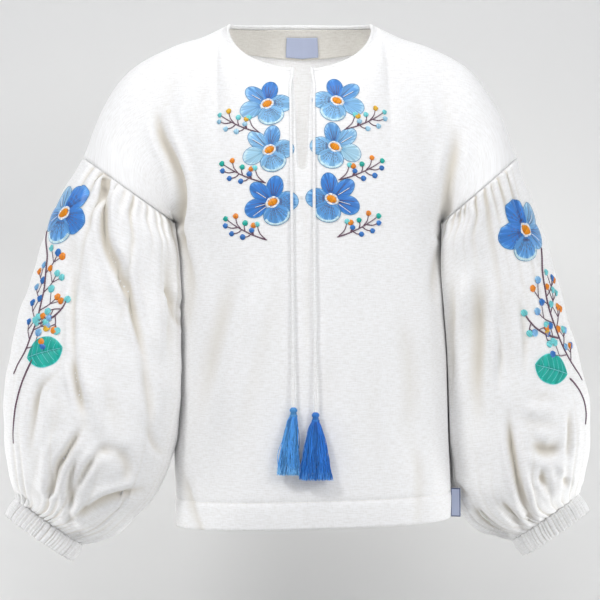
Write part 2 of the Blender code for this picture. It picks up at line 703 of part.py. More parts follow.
def cuff_axis(side):
    """Unit direction out of a sleeve through its cuff."""
    _, half, _, _ = sleeve_section(side, 12.0)
    axis = np.cross(half, (0.0, 1.0, 0.0))
    axis = unit(axis)
    return axis if axis[2] < 0 else -axis


def cuff(side, name):
    """A ruched elastic band: ridges on its outer skin, a plain inner one."""
    turn = np.linspace(0.0, 2.0 * np.pi, CUFF_COLUMNS, endpoint=False)
    centre, half, depth, _ = sleeve_section(side, 12.0)
    axis = cuff_axis(side)
    wide, deep = np.cos(turn)[:, None] * half, -np.sin(turn)[:, None] * np.array([0.0, depth, 0.0])
    out = unit(wide + deep)
    columns = np.arange(CUFF_COLUMNS)
    ridge = np.where(columns % 2 == 0, 1.0, 0.0) * (0.8 + 0.2 * np.sin(1.7 * columns))
    outer, inner = [], []
    for share, swell in ((0.0, 0.35), (0.5, 1.0), (1.0, 0.35)):
        plain = centre + wide + deep + axis * (SEAM_GAP + share * CUFF_HEIGHT)
        outer.append(plain + out * (ridge * swell * CUFF_RIDGE)[:, None])
        inner.append(plain - out * CUFF_WALL)
    quads = grid_quads(3, CUFF_COLUMNS, wrap=True)
    if side > 0:
        quads = quads[:, ::-1]
    shell(name, linen(), np.concatenate(outer), np.concatenate(inner), quads)


def tie_route(front, start, side):
    """The way of a tie from the binding's end down the front to its tassel."""
    line = on_panel(front, np.zeros(1), front.falls, 0.0)
    out = unit(np.cross(np.gradient(line, axis=0), (1.0, 0.0, 0.0)))
    out *= -np.sign(out[:, 1])[:, None]
    line = line + out * (TIE_RADIUS + TIE_LIFT)
    foot = TIE_FOOT_LEFT if side < 0 else TIE_FOOT_RIGHT
    share = np.linspace(0.0, 1.0, 18)
    top = start[2] - TIE_BEND_DROP
    heights = top + (foot - top) * share
    places = through(TIE_PLACES, share)[:, 0 if side < 0 else 1]
    depths = np.interp(-heights, -line[:, 2], line[:, 1]) - TASSEL_STAND_OFF * share**3
    bend = [start + np.array([-side * b.inward, -b.forward, -b.down]) for b in TIE_BEND]
    route = np.array(bend + list(zip(places, depths, heights)))
    run = np.concatenate([[0.0], np.cumsum(np.linalg.norm(np.diff(route, axis=0), axis=1))])
    close = np.linspace(0.0, TIE_BEND_DROP, TIE_BEND_POINTS)
    at = np.concatenate([close, np.linspace(TIE_BEND_DROP, run[-1], TIE_POINTS)[1:]])
    return through(np.column_stack([run, route]), at)


def tie(name, front, start, side):
    """A round tie, and the place of its lower end."""
    path = tie_route(front, start, side)
    curve = bpy.data.curves.new(name, "CURVE")
    curve.dimensions = "3D"
    curve.bevel_depth = TIE_RADIUS
    curve.bevel_resolution = 2
    curve.use_fill_caps = True
    spline = curve.splines.new("POLY")
    spline.points.add(len(path) - 1)
    for point, place in zip(spline.points, path):
        point.co = (*place, 1.0)
    curve.materials.append(linen())
    obj = bpy.data.objects.new(name, curve)
    bpy.context.scene.collection.objects.link(obj)
    return path[-1]


def hexagon_cells(rings):
    """Corners and triangles of a hexagon cut into equal cells, on a disc of radius 1."""
    places, faces = {}, []

    def corner(u, v):
        """Number of the corner at a place of the hexagon's grid."""
        key = (u, v)
        if key not in places:
            far = max(abs(u), abs(v), abs(u + v)) / rings
            x, y = u + 0.5 * v, v * math.sqrt(3.0) / 2.0
            length = math.hypot(x, y) or 1.0
            places[key] = (len(places), x / length * far, y / length * far)
        return places[key][0]

    for u in range(-rings, rings):
        for v in range(-rings, rings):
            for cell in (((u, v), (u + 1, v), (u, v + 1)), ((u + 1, v), (u + 1, v + 1), (u, v + 1))):
                if all(max(abs(a), abs(b), abs(a + b)) <= rings for a, b in cell):
                    faces.append([corner(*place) for place in cell])
    return np.array([place[1:] for place in sorted(places.values())]), faces


def tassel(name, top, shape, colour):
    """A bound head whose underside is cut into cells, with one tapering lock from each."""
    bm = bmesh.new()
    corners, cells = hexagon_cells(TASSEL_RINGS)
    neck = TASSEL_HEAD_RADIUS * TASSEL_FOOT_SWELL
    foot = -TASSEL_HEAD_LENGTH
    flat = np.array([1.0, TASSEL_FLATNESS])
    verts = [bm.verts.new((*(corner * flat * neck), foot)) for corner in corners]
    locks = [bm.faces.new([verts[i] for i in cell]) for cell in cells]
    for face in locks:
        face.normal_update()
        if face.normal.z > 0:
            face.normal_flip()
    rim = [edge for edge in bm.edges if edge.is_boundary]
    profile = ((-0.66, 1.12), (-0.56, 0.80), (-0.30, 1.0), (-0.08, 0.75), (0.0, 0.35))
    for height, radius in profile:
        made = bmesh.ops.extrude_edge_only(bm, edges=rim)["geom"]
        rim = [item for item in made if isinstance(item, bmesh.types.BMEdge) and item.is_boundary]
        for vert in {vert for edge in rim for vert in edge.verts}:
            way = np.array([vert.co.x, vert.co.y / TASSEL_FLATNESS])
            way = way / np.linalg.norm(way) * TASSEL_HEAD_RADIUS * radius
            vert.co = (way[0], way[1] * TASSEL_FLATNESS, TASSEL_HEAD_LENGTH * height)
    bmesh.ops.edgeloop_fill(bm, edges=rim)
    bmesh.ops.inset_individual(bm, faces=locks, thickness=LOCK_ROOT_INSET)
    spread = np.array([shape.spread / neck, TASSEL_DEPTH / neck / flat[1]])
    for number, face in enumerate(locks):
        made = bmesh.ops.extrude_discrete_faces(bm, faces=[face])["faces"][0]
        middle = made.calc_center_median()
        length = TASSEL_SKIRT * (0.96 + 0.04 * math.sin(2.9 * number))
        x = middle.x * spread[0] + shape.lean
        target = Vector((x, middle.y * spread[1] - TASSEL_LEAN_FORWARD, foot - length))
        for vert in made.verts:
            vert.co = target + (vert.co - middle) * LOCK_TAPER
    bmesh.ops.recalc_face_normals(bm, faces=bm.faces)
    mesh = bpy.data.meshes.new(name)
    bm.to_mesh(mesh)
    bm.free()
    obj = add_object(name, mesh, floss(colour))
    obj.location = Vector(top) - Vector((0.0, 0.0, SEAM_GAP))


def main():
    """Clears the scene and makes every piece of the blouse."""
    for obj in list(bpy.data.objects):
        bpy.data.objects.remove(obj, do_unlink=True)
    front = body_panel("front", -1)
    back = body_panel("back", 1)
    back_neck_facing(back)
    neck_label(back)
    side_label(front)
    left_end, right_end = neck_binding(front, back)
    blues = ((0.045, 0.30, 0.78), (0.020, 0.20, 0.70))
    for shape, word, end, blue in zip(TASSELS, ("left", "right"), (left_end, right_end), blues):
        side = shape.side
        sleeve(side, "sleeve_" + word)
        cuff(side, "cuff_" + word)
        foot = tie("tie_" + word, front, end, side)
        tassel("tassel_" + word, foot, shape, blue)


main()
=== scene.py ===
"""Embroidered off-white linen folk blouse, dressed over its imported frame.

+X is the viewer's right, +Z is up and the front of the blouse faces -Y. Left and right are
the viewer's. Sizes are metres, and folds and needlework are placed in millimetres of the
middle plane as it is seen from straight in front.
"""

from __future__ import annotations

import logging
import math
from dataclasses import dataclass, field
from enum import Enum

import bpy
import numpy as np
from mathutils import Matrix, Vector
from mathutils.bvhtree import BVHTree


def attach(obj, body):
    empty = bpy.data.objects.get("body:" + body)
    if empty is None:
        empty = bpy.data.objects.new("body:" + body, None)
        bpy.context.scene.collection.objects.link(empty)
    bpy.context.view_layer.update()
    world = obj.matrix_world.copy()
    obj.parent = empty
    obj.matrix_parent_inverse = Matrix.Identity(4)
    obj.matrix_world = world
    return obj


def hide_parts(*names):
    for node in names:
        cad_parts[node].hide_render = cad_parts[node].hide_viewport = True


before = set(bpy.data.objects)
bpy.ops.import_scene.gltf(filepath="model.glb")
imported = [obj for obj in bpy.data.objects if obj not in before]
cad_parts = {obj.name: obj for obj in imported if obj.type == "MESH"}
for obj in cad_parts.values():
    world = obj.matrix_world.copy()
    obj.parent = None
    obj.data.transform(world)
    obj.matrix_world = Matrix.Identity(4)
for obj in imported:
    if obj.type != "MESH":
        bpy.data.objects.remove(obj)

LOG = logging.getLogger("blouse")
MM = 0.001
EYE = np.array([0.0, -2.2, -0.2617])
LENS = 138.9
SENSOR = 36.0
Array = np.ndarray
Colour = tuple[float, float, float, float]


class Side(Enum):
    """The two sides of the blouse, as the viewer sees them."""

    LEFT = -1
    RIGHT = 1


class Face(Enum):
    """The two panels of the body."""

    FRONT = -1
    BACK = 1


class Strand(Enum):
    """The colours of embroidery thread."""

    BLUE = "blue"
    LIGHT_BLUE = "light_blue"
    STRONG_BLUE = "strong_blue"
    PLUM = "plum"
    ORANGE = "orange"
    YELLOW = "yellow"
    TEAL = "teal"
    AQUA = "aqua"
    WHITE = "white"
    HEART = "heart"
    PALE = "pale"
    DEEP = "deep"
    RIM = "rim"
    EDGE = "edge"


def linear(code: str) -> Colour:
    """Turns an sRGB hex value into a linear colour.

    Args:
        code: Six hex digits after a hash sign.

    Returns:
        Red, green, blue and full alpha.
    """
    values = [int(code[i : i + 2], 16) / 255.0 for i in (1, 3, 5)]
    light = [v / 12.92 if v <= 0.04045 else ((v + 0.055) / 1.055) ** 2.4 for v in values]
    return (light[0], light[1], light[2], 1.0)


def unit(vectors: Array) -> Array:
    """Returns the same directions with length 1."""
    return vectors / np.maximum(np.linalg.norm(vectors, axis=-1, keepdims=True), 1e-12)


def smooth(low: float, high: float, value: Array | float) -> Array:
    """Rises softly from 0 at the low value to 1 at the high one."""
    t = np.clip((np.asarray(value, float) - low) / (high - low), 0.0, 1.0)
    return t * t * (3.0 - 2.0 * t)


def bump(t: Array) -> Array:
    """Rises and falls softly between 0 and 1, and is 0 outside them."""
    return np.sin(np.pi * np.clip(t, 0.0, 1.0)) ** 1.2


def through(table: tuple, at: Array | float) -> Array:
    """Reads every column after the first off a smooth curve through a table's rows.

    Args:
        table: Rows of numbers, sorted by their first column.
        at: Places in the first column.

    Returns:
        One row for each place.
    """
    rows = np.array(table, float)
    if rows[0, 0] > rows[-1, 0]:
        rows = rows[::-1]
    x, y = rows[:, 0], rows[:, 1:]
    slope = np.gradient(y, x, axis=0)
    at = np.clip(np.atleast_1d(np.asarray(at, float)), x[0], x[-1])
    i = np.clip(np.searchsorted(x, at, side="right") - 1, 0, len(x) - 2)
    h = (x[i + 1] - x[i])[:, None]
    t = (at - x[i])[:, None] / h
    start = (1 + 2 * t) * (1 - t) ** 2 * y[i] + t * (1 - t) ** 2 * h * slope[i]
    end = t * t * (3 - 2 * t) * y[i + 1] + t * t * (t - 1) * h * slope[i + 1]
    return start + end


def as_seen(points: Array) -> Array:
    """Projects points on the middle plane from the viewer's place, in millimetres."""
    scale = -EYE[1] / (points[:, 1] - EYE[1])
    x = points[:, 0] * scale
    z = (points[:, 2] - EYE[2]) * scale + EYE[2]
    return np.stack([x, z], -1) / MM


def add_node(tree: bpy.types.NodeTree, kind: str, values: dict | None = None, **links) -> bpy.types.Node:
    """Adds one node to a material.

    Args:
        tree: The material's nodes.
        kind: The node's type.
        values: Properties and unlinked inputs, by name.
        **links: Sockets that feed its inputs, with each space in a name as two underscores
            and an input's number as n0, n1 and so on.

    Returns:
        The node.
    """
    made = tree.nodes.new(kind)
    for name, value in (values or {}).items():
        if hasattr(made, name):
            setattr(made, name, value)
        else:
            made.inputs[
                int(name[1:]) if name[0] == "n" and name[1:].isdigit() else name
            ].default_value = value
    for name, socket in links.items():
        key = int(name[1:]) if name[0] == "n" and name[1:].isdigit() else name.replace("__", " ")
        tree.links.new(socket, made.inputs[key])
    return made


@dataclass(frozen=True)
class Finish:
    """What every finish of the blouse shares."""

    name: str
    colour: str
    roughness: float

    def begin(self) -> tuple[bpy.types.Material, bpy.types.NodeTree, bpy.types.Node]:
        """Makes an empty material with one shader.

        Returns:
            The material, its nodes and its shader.
        """
        material = bpy.data.materials.new(self.name)
        material.use_nodes = True
        shader = material.node_tree.nodes["Principled BSDF"]
        shader.inputs["Base Color"].default_value = linear(self.colour)
        shader.inputs["Roughness"].default_value = self.roughness
        return material, material.node_tree, shader


@dataclass(frozen=True)
class LinenFinish(Finish):
    """Bleached half-linen in plain weave: matt, with long slubs across and shorter ones down."""

    shade: str = "#DCD6C9"
    # Real threads are 0.45 mm apart, too fine to show, so the weave is drawn 1.1 mm apart.
    thread: float = 1.1 * MM
    slub: float = 7.0 * MM
    relief: float = 0.16 * MM
    # Painted shade: the colour the cloth takes in deep folds, darker and warmer than the linen
    fold_shade: str = "#DAD3C5"

    def make(self) -> bpy.types.Material:
        """Builds the material; its cloth map is in metres.

        Returns:
            The material.
        """
        material, tree, shader = self.begin()
        cloth = add_node(tree, "ShaderNodeUVMap", {"uv_map": "cloth"}).outputs["UV"]
        fine, long = 1.0 / self.thread, 1.0 / self.slub
        grain = []
        for across, down, seed in ((long, fine, 0.0), (fine, 1.6 * long, 7.3)):
            places = add_node(
                tree, "ShaderNodeMapping", {
                    "Location": (seed, seed, 0.0), "Scale": (across, down, 1.0)
                }, Vector=cloth
            )
            noise = add_node(
                tree, "ShaderNodeTexNoise", {
                    "Scale": 1.0, "Detail": 2.0, "Roughness": 0.55
                }, Vector=places.outputs[0]
            )
            grain.append(noise.outputs[0])
        weft, warp = grain
        both = add_node(tree, "ShaderNodeMix", {"Factor": 0.36}, A=weft, B=warp).outputs[0]
        tone = add_node(
            tree, "ShaderNodeMapRange", {"From Min": 0.36, "From Max": 0.60}, Value=both
        ).outputs[0]
        colour = add_node(
            tree,
            "ShaderNodeMix",
            {"data_type": "RGBA", "n6": linear(self.shade), "n7": linear(self.colour)},
            n0=tone,
        )
        # Painted shade: the deep folds carry a darker, warmer tone that stands in for the light lost
        # between their walls
        deep = add_node(tree, "ShaderNodeAttribute", {"attribute_name": "fold_shade"}).outputs["Fac"]
        painted_fold_colour = add_node(
            tree,
            "ShaderNodeMix",
            {"data_type": "RGBA", "n7": linear(self.fold_shade)},
            n0=deep,
            n6=colour.outputs[2],
        )
        tree.links.new(painted_fold_colour.outputs[2], shader.inputs["Base Color"])
        relief = add_node(tree, "ShaderNodeBump", {"Strength": 0.5, "Distance": self.relief}, Height=both)
        tree.links.new(relief.outputs[0], shader.inputs["Normal"])
        shader.inputs["Sheen Weight"].default_value = 0.18
        shader.inputs["Sheen Roughness"].default_value = 0.5
        shader.inputs["Specular IOR Level"].default_value = 0.22
        return material


@dataclass(frozen=True)
class TapeFinish(Finish):
    """Woven polyester tape: smooth, with a fine rib across and a faint satin gleam."""

    rib: float = 0.9 * MM

    def make(self) -> bpy.types.Material:
        """Builds the material.

        Returns:
            The material.
        """
        material, tree, shader = self.begin()
        cloth = add_node(tree, "ShaderNodeUVMap", {"uv_map": "cloth"}).outputs["UV"]
        places = add_node(
            tree, "ShaderNodeMapping", {"Scale": (1.0 / self.rib, 1.0 / self.rib, 1.0)}, Vector=cloth
        )
        ribs = add_node(
            tree,
            "ShaderNodeTexWave",
            {"bands_direction": "Y", "Scale": 1.0, "Distortion": 0.6},
            Vector=places.outputs[0],
        )
        relief = add_node(
            tree, "ShaderNodeBump", {"Strength": 0.35, "Distance": 0.00008}, Height=ribs.outputs["Fac"]
        )
        tree.links.new(relief.outputs[0], shader.inputs["Normal"])
        return material


@dataclass(frozen=True)
class FlossFinish(Finish):
    """Mercerised cotton floss in satin stitch: each thread has its own painted brightness, standing in for
    the soft streak of light it catches.
    """

    root: str = "#000000"
    rim: str = "#000000"
    root_end: float = 0.18
    rim_start: float = 1.2
    contrast: float = 0.38

    def make(self) -> bpy.types.Material:
        """Builds the material from the stitch colours: red runs along a thread, green is its own shade.

        Returns:
            The material.
        """
        material, tree, shader = self.begin()
        stitch = add_node(tree, "ShaderNodeAttribute", {"attribute_name": "stitch"}).outputs["Color"]
        parts = add_node(tree, "ShaderNodeSeparateColor", {}, Color=stitch).outputs
        along, own = parts[0], parts[1]
        uneven = add_node(
            tree, "ShaderNodeMath", {"operation": "MULTIPLY_ADD", "n1": 0.22, "n2": -0.11}, n0=own
        )
        place = add_node(
            tree, "ShaderNodeMath", {"operation": "ADD"}, n0=along, n1=uneven.outputs[0]
        ).outputs[0]
        colours = [linear(self.root), linear(self.colour), linear(self.rim)]
        low = add_node(
            tree, "ShaderNodeMapRange", {
                "From Min": self.root_end - 0.1, "From Max": self.root_end + 0.1
            }, Value=place
        )
        high = add_node(
            tree, "ShaderNodeMapRange", {
                "From Min": self.rim_start - 0.04, "From Max": self.rim_start + 0.03
            }, Value=place
        )
        mixed = add_node(
            tree,
            "ShaderNodeMix",
            {"data_type": "RGBA", "n6": colours[0], "n7": colours[1]},
            n0=low.outputs[0],
        )
        rimmed = add_node(
            tree,
            "ShaderNodeMix",
            {"data_type": "RGBA", "n7": colours[2]},
            n0=high.outputs[0],
            n6=mixed.outputs[2],
        )
        # Painted light and shade: each thread's own value lightens or darkens its colour, and the grooves
        # between threads come out darker
        light = add_node(
            tree,
            "ShaderNodeMath",
            {"operation": "MULTIPLY_ADD", "n1": self.contrast, "n2": 1.0 - 0.52 * self.contrast},
            n0=own,
        )
        shaded = add_node(
            tree, "ShaderNodeHueSaturation", {}, Color=rimmed.outputs[2], Value=light.outputs[0]
        )
        tree.links.new(shaded.outputs[0], shader.inputs["Base Color"])
        shader.inputs["Sheen Weight"].default_value = 0.12
        shader.inputs["Specular IOR Level"].default_value = 0.42
        return material


@dataclass(frozen=True)
class PaperFinish(Finish):
    """Matt studio paper, with a grain that only breaks up the light."""

    def make(self) -> bpy.types.Material:
        """Builds the material.

        Returns:
            The material.
        """
        material, tree, shader = self.begin()
        noise = add_node(tree, "ShaderNodeTexNoise", {"Scale": 300.0, "Detail": 2.0})
        relief = add_node(
            tree, "ShaderNodeBump", {"Strength": 0.05, "Distance": 0.0002}, Height=noise.outputs[0]
        )
        tree.links.new(relief.outputs[0], shader.inputs["Normal"])
        # The paper has one face only, so that it never stands before the blouse's back
        behind = add_node(tree, "ShaderNodeNewGeometry", {}).outputs["Backfacing"]
        clear = add_node(tree, "ShaderNodeBsdfTransparent", {}).outputs[0]
        both = add_node(tree, "ShaderNodeMixShader", {}, n0=behind, n1=shader.outputs[0], n2=clear)
        out = next(node for node in tree.nodes if node.type == "OUTPUT_MATERIAL")
        tree.links.new(both.outputs[0], out.inputs[0])
        return material


class Wardrobe:
    """The finishes of the blouse, each made once."""

    def __init__(self) -> None:
        """Makes the materials."""
        self.linen = LinenFinish("bleached half-linen", "#FCFCFC", 0.86, shade="#EFEEEC").make()
        # The facing's greyer, darker colour is partly its own cloth and partly painted shade for the dim
        # inside of the neck
        self.facing = LinenFinish("facing linen with painted shade", "#E9E6DF", 0.9, shade="#D9D5CC").make()
        self.thread = TapeFinish("white sewing thread", "#FFFDF8", 0.6).make()
        self.tape = TapeFinish("pale blue label tape", "#B4BDD6", 0.5).make()
        self.tape_edge = TapeFinish("dark blue label edge", "#3C4A74", 0.5).make()
        self.floss = {
            Strand.BLUE: FlossFinish(
                "blue floss", "#62A3E2", 0.42, "#4A86CE", "#8FC4EE", 0.15, 0.85
            ).make(),
            Strand.LIGHT_BLUE: FlossFinish(
                "light blue floss", "#86BFEC", 0.42, "#6BA4DF", "#AEDAF4", 0.15, 0.85
            ).make(),
            Strand.STRONG_BLUE: FlossFinish(
                "strong blue floss", "#3F86DA", 0.42, "#336FC0", "#5BA0E6", 0.15, 0.9
            ).make(),
            Strand.PLUM: FlossFinish("plum brown floss", "#6A4C5E", 0.5, "#6A4C5E", "#6A4C5E").make(),
            Strand.ORANGE: FlossFinish(
                "orange floss", "#F48F22", 0.42, "#E8801C", "#F8A844", 0.1, 0.9
            ).make(),
            Strand.YELLOW: FlossFinish(
                "yellow floss", "#F2BE34", 0.42, "#E6AC28", "#F6CE5C", 0.1, 0.9
            ).make(),
            Strand.TEAL: FlossFinish(
                "teal floss", "#14B5A5", 0.42, "#10A294", "#34CABB", 0.06, 0.92
            ).make(),
            Strand.AQUA: FlossFinish(
                "aqua floss", "#7ADCE0", 0.42, "#62CDD6", "#A6ECEE", 0.06, 0.92
            ).make(),
            Strand.WHITE: FlossFinish("white floss", "#FAFBFA", 0.45, "#F2F4F4", "#FFFFFF").make(),
            Strand.HEART: FlossFinish(
                "golden orange floss", "#F79A10", 0.42, "#EC8A0C", "#F9A828", 0.1, 0.9
            ).make(),
            Strand.PALE: FlossFinish(
                "pale blue floss", "#A9D8F0", 0.42, "#8CC6E8", "#CDEBF6", 0.12, 0.85
            ).make(),
            Strand.DEEP: FlossFinish(
                "deep blue floss", "#357CCB", 0.42, "#2C6EBA", "#569ADD", 0.1, 0.9
            ).make(),
            Strand.RIM: FlossFinish(
                "ice blue floss", "#D3F0F7", 0.45, "#BFE6F2", "#E8F8FB", 0.1, 0.9
            ).make(),
            Strand.EDGE: FlossFinish("slate blue floss", "#4E8FBE", 0.5, "#4E8FBE", "#4E8FBE").make(),
        }
        self.tassels = {
            Side.LEFT: FlossFinish(
                "light blue tassel floss", "#56A6EC", 0.40, "#3B8CDA", "#7CC0F2", 0.1, 0.95, 0.75
            ).make(),
            Side.RIGHT: FlossFinish(
                "deep blue tassel floss", "#2F86E2", 0.40, "#226FCC", "#529FEC", 0.1, 0.95, 0.75
            ).make(),
        }


def grid_quads(rows: int, columns: int, wrap: bool = False) -> Array:
    """Lists the faces of a grid whose points run along each row in turn.

    Args:
        rows: How many rows the grid has.
        columns: How many points each row has.
        wrap: Whether each row closes on itself.

    Returns:
        Four point numbers for each face.
    """
    last = columns if wrap else columns - 1
    i, j = np.meshgrid(np.arange(rows - 1), np.arange(last), indexing="ij")
    k = (j + 1) % columns
    quads = np.stack([i * columns + j, (i + 1) * columns + j, (i + 1) * columns + k, i * columns + k], -1)
    return quads.reshape(-1, 4)


def normals_of(points: Array, quads: Array) -> Array:
    """Returns unit normals at a surface's points, from the faces round each."""
    normals = np.zeros_like(points)
    a, b, c, d = (points[quads[:, i]] for i in range(4))
    facing = np.cross(c - a, d - b)
    for i in range(4):
        np.add.at(normals, quads[:, i], facing)
    return unit(normals)


@dataclass
class Skin:
    """An open surface of cloth, its faces outwards, with its place on the flat cloth."""

    points: Array
    quads: Array
    corners: Array
    normals: Array = field(init=False)
    fold_shade: Array = field(init=False)

    def __post_init__(self) -> None:
        """Works out the normals."""
        self.fold_shade = np.zeros(len(self.points))
        self.renew()

    def mark(self, height: Array) -> None:
        """Marks how deep in a fold each point lies, as the share of painted fold shade its colour gets."""
        self.fold_shade = np.clip(np.maximum(self.fold_shade, -height / 0.0065), 0.0, 0.8)

    def renew(self) -> None:
        """Works the normals out again after the points have moved."""
        self.normals = normals_of(self.points, self.quads)

    def push(self, height: Array) -> None:
        """Moves each point out along its normal."""
        self.points = self.points + self.normals * height[:, None]
        self.renew()

    def tree(self) -> BVHTree:
        """Returns a search tree of the faces."""
        return BVHTree.FromPolygons(self.points.tolist(), self.quads.tolist())

    def shell(self, name: str, wall: Array | float, material: bpy.types.Material) -> bpy.types.Object:
        """Makes a closed wall whose outer skin is this surface.

        Args:
            name: The piece's name.
            wall: The cloth's thickness, one for all or one for each point.
            material: The finish.

        Returns:
            The piece.
        """
        count = len(self.points)
        inner = self.points - self.normals * (np.zeros(count) + wall)[:, None]
        ahead = np.roll(self.quads, -1, axis=1)
        forward = (self.quads * count + ahead).ravel()
        backward = (ahead * count + self.quads).ravel()
        open_edges = ~np.isin(forward, backward)
        a, b = self.quads.ravel()[open_edges], ahead.ravel()[open_edges]
        at_a = self.corners.reshape(-1, 2)[open_edges]
        at_b = np.roll(self.corners, -1, axis=1).reshape(-1, 2)[open_edges]
        rim = np.stack([b, a, a + count, b + count], -1)
        faces = np.concatenate([self.quads, self.quads[:, ::-1] + count, rim])
        places = np.concatenate(
            [self.corners, self.corners[:, ::-1], np.stack([at_b, at_a, at_a, at_b], 1)]
        )
        made = piece(name, np.concatenate([self.points, inner]), faces, [material], places)
        # Painted shade: the outer skin carries each point's fold shade, the inner skin none
        layer = made.data.attributes.new("fold_shade", "FLOAT", "POINT")
        layer.data.foreach_set("value", np.concatenate([self.fold_shade, 0.0 * self.fold_shade]).astype(np.float32))
        return made


def piece(
    name: str,
    points: Array,
    faces: Array | list,
    materials: list,
    places: Array | None = None,
    stitch: Array | None = None,
    slots: Array | None = None,
) -> bpy.types.Object:
    """Puts a mesh into the scene as one smooth piece that rides on the blouse.

    Args:
        name: The piece's name.
        points: Its points, in metres.
        faces: Point numbers of each face.
        materials: Its finishes.
        places: Cloth coordinates of each face's corners.
        stitch: A colour for each point that the floss reads.
        slots: The number of each face's finish.

    Returns:
        The piece.
    """
    mesh = bpy.data.meshes.new(name)
    mesh.from_pydata(points.tolist(), [], faces.tolist() if isinstance(faces, np.ndarray) else faces)
    for material in materials:
        mesh.materials.append(material)
    if places is not None:
        mesh.uv_layers.new(name="cloth").data.foreach_set(
            "uv", np.ascontiguousarray(places, np.float32).ravel()
        )
    if stitch is not None:
        layer = mesh.color_attributes.new("stitch", "FLOAT_COLOR", "POINT")
        layer.data.foreach_set("color", np.ascontiguousarray(stitch, np.float32).ravel())
    if slots is not None:
        mesh.polygons.foreach_set("material_index", np.ascontiguousarray(slots, np.int32))
    mesh.shade_smooth()
    made = bpy.data.objects.new(name, mesh)
    bpy.context.scene.collection.objects.link(made)
    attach(made, "root")
    LOG.info("%s: %d points, %d faces", name, len(mesh.vertices), len(mesh.polygons))
    return made


@dataclass(frozen=True)
class Crease:
    """A soft trough, or with a negative depth a ridge, on a line of places in millimetres."""

    line: tuple
    depth: float
    width: float
    head: float = 0.0
    tail: float = 0.0

    def press(self, places: Array) -> Array:
        """Measures how far the crease presses the cloth in, in metres.

        Args:
            places: Places of the cloth's points, in millimetres.

        Returns:
            The depth at each point.
        """
        marks = np.array(self.line, float)
        steps = np.concatenate([[0.0], np.cumsum(np.linalg.norm(np.diff(marks, axis=0), axis=1))])
        at = np.linspace(0.0, steps[-1], 8 * len(marks))
        way = through(tuple(np.column_stack([steps, marks])), at) if len(marks) > 2 else marks
        run = np.linspace(0.0, 1.0, len(way))
        pressed = np.zeros(len(places))
        reach = 3.4 * self.width
        near = np.flatnonzero(
            (places > way.min(axis=0) - reach).all(axis=1) & (places < way.max(axis=0) + reach).all(axis=1)
        )
        best, share = np.full(len(near), np.inf), np.zeros(len(near))
        for i in range(len(way) - 1):
            along = way[i + 1] - way[i]
            t = np.clip((places[near] - way[i]) @ along / max(along @ along, 1e-9), 0.0, 1.0)
            far = np.linalg.norm(places[near] - way[i] - t[:, None] * along, axis=1)
            closer = far < best
            best = np.where(closer, far, best)
            share = np.where(closer, run[i] + t * (run[i + 1] - run[i]), share)
        strength = (self.head + (1 - self.head) * smooth(0.0, 0.35, share)) * (
            self.tail + (1 - self.tail) * smooth(1.0, 0.55, share)
        )
        valley = 0.62 * np.exp(-((best / self.width) ** 2)) + 0.38 * np.exp(-best / (0.45 * self.width))
        lips = 0.34 * np.exp(-(((best - 1.9 * self.width) / (0.9 * self.width)) ** 2))
        pressed[near] = self.depth * MM * strength * (valley - lips)
        return pressed


def relief_of(creases: tuple, skin: Skin, face: int) -> Array:
    """Adds up creases on the part of a surface that faces the viewer, or away.

    Args:
        creases: The creases; those of a back are given as seen from the front too.
        skin: The surface.
        face: -1 for the part that faces the viewer and 1 for the other.

    Returns:
        How far each point moves out, in metres.
    """
    places = as_seen(skin.points)
    turned = smooth(0.05, 0.5, face * skin.normals[:, 1])
    total = np.zeros(len(places))
    for crease in creases:
        total -= crease.press(places)
    return np.clip(total * turned, -0.0085, 0.0045)


def unevenness(points: Array, size: float, height: float, seed: float) -> Array:
    """A slow random swell of the cloth.

    Args:
        points: Points of the cloth.
        size: The usual width of a swell, in metres.
        height: Its usual height, in metres.
        seed: Makes it different from the others.

    Returns:
        The height at each point.
    """
    total = np.zeros(len(points))
    for k in range(5):
        angle = 2.4 * k + seed
        way = np.array([math.cos(angle), 0.6 * math.sin(2.1 * angle), math.sin(angle)])
        total += np.sin(points @ way * (2.0 * math.pi / (size * (0.7 + 0.22 * k))) + 1.7 * k + 3.0 * seed)
    return total * height / 3.0


# Creases of the front, in millimetres as seen
FRONT_CREASES = (
    Crease(
        ((-138, -74), (-131, -107), (-122, -127), (-115, -148), (-113, -167), (-117, -188)),
        8.3,
        5.0,
        0.0,
        0.8,
    ),
    Crease(((149, -91), (147, -119), (142, -148), (139, -176), (136, -198)), 5.4, 6.2, 0.0, 0.5),
    Crease(((134, -197), (139, -191), (148, -184)), -2.9, 2.5, 0.5, 0.2),
    Crease(((134, -203), (141, -197)), 3.6, 2.2, 0.6, 0.0),
    Crease(((-118, -190), (-108, -224), (-104, -262)), 3.6, 5.0, 0.8, 0.0),
    Crease(((136, -200), (129, -233), (126, -271)), 3.2, 5.0, 0.8, 0.0),
    Crease(((-99, -219), (-104, -262), (-108, -309)), 1.8, 7.9),
    Crease(((-36, -214), (-52, -281), (-71, -357), (-84, -423)), -2.4, 10.8),
    Crease(((-62, -233), (-81, -300), (-95, -376)), 2.2, 10.8),
    Crease(((95, -262), (105, -338), (100, -414)), 1.8, 10.8),
    Crease(((55, -300), (48, -370), (52, -440)), -1.4, 11.7),
    Crease(((-113, -423), (-105, -452), (-95, -480)), 3.2, 5.0, 0.2, 0.8),
    Crease(((109, -395), (114, -433), (112, -469)), 2.0, 6.7, 0.2, 0.6),
    Crease(((2, -167), (4, -181), (6, -200)), 1.4, 2.4, 0.6, 0.3),
    Crease(((6, -200), (7, -262), (6, -338)), 1.0, 3.8, 0.6, 0.0),
    Crease(((-10, -214), (-11, -300), (-12, -370)), -0.7, 4.2),
    Crease(((120, -60), (128, -92), (131, -120)), -1.8, 6.7),
    Crease(((-100, -46), (-112, -76), (-116, -110)), -2.2, 7.5),
    Crease(((-112, -160), (-112, -186), (-118, -226)), 4.4, 4.6),
)

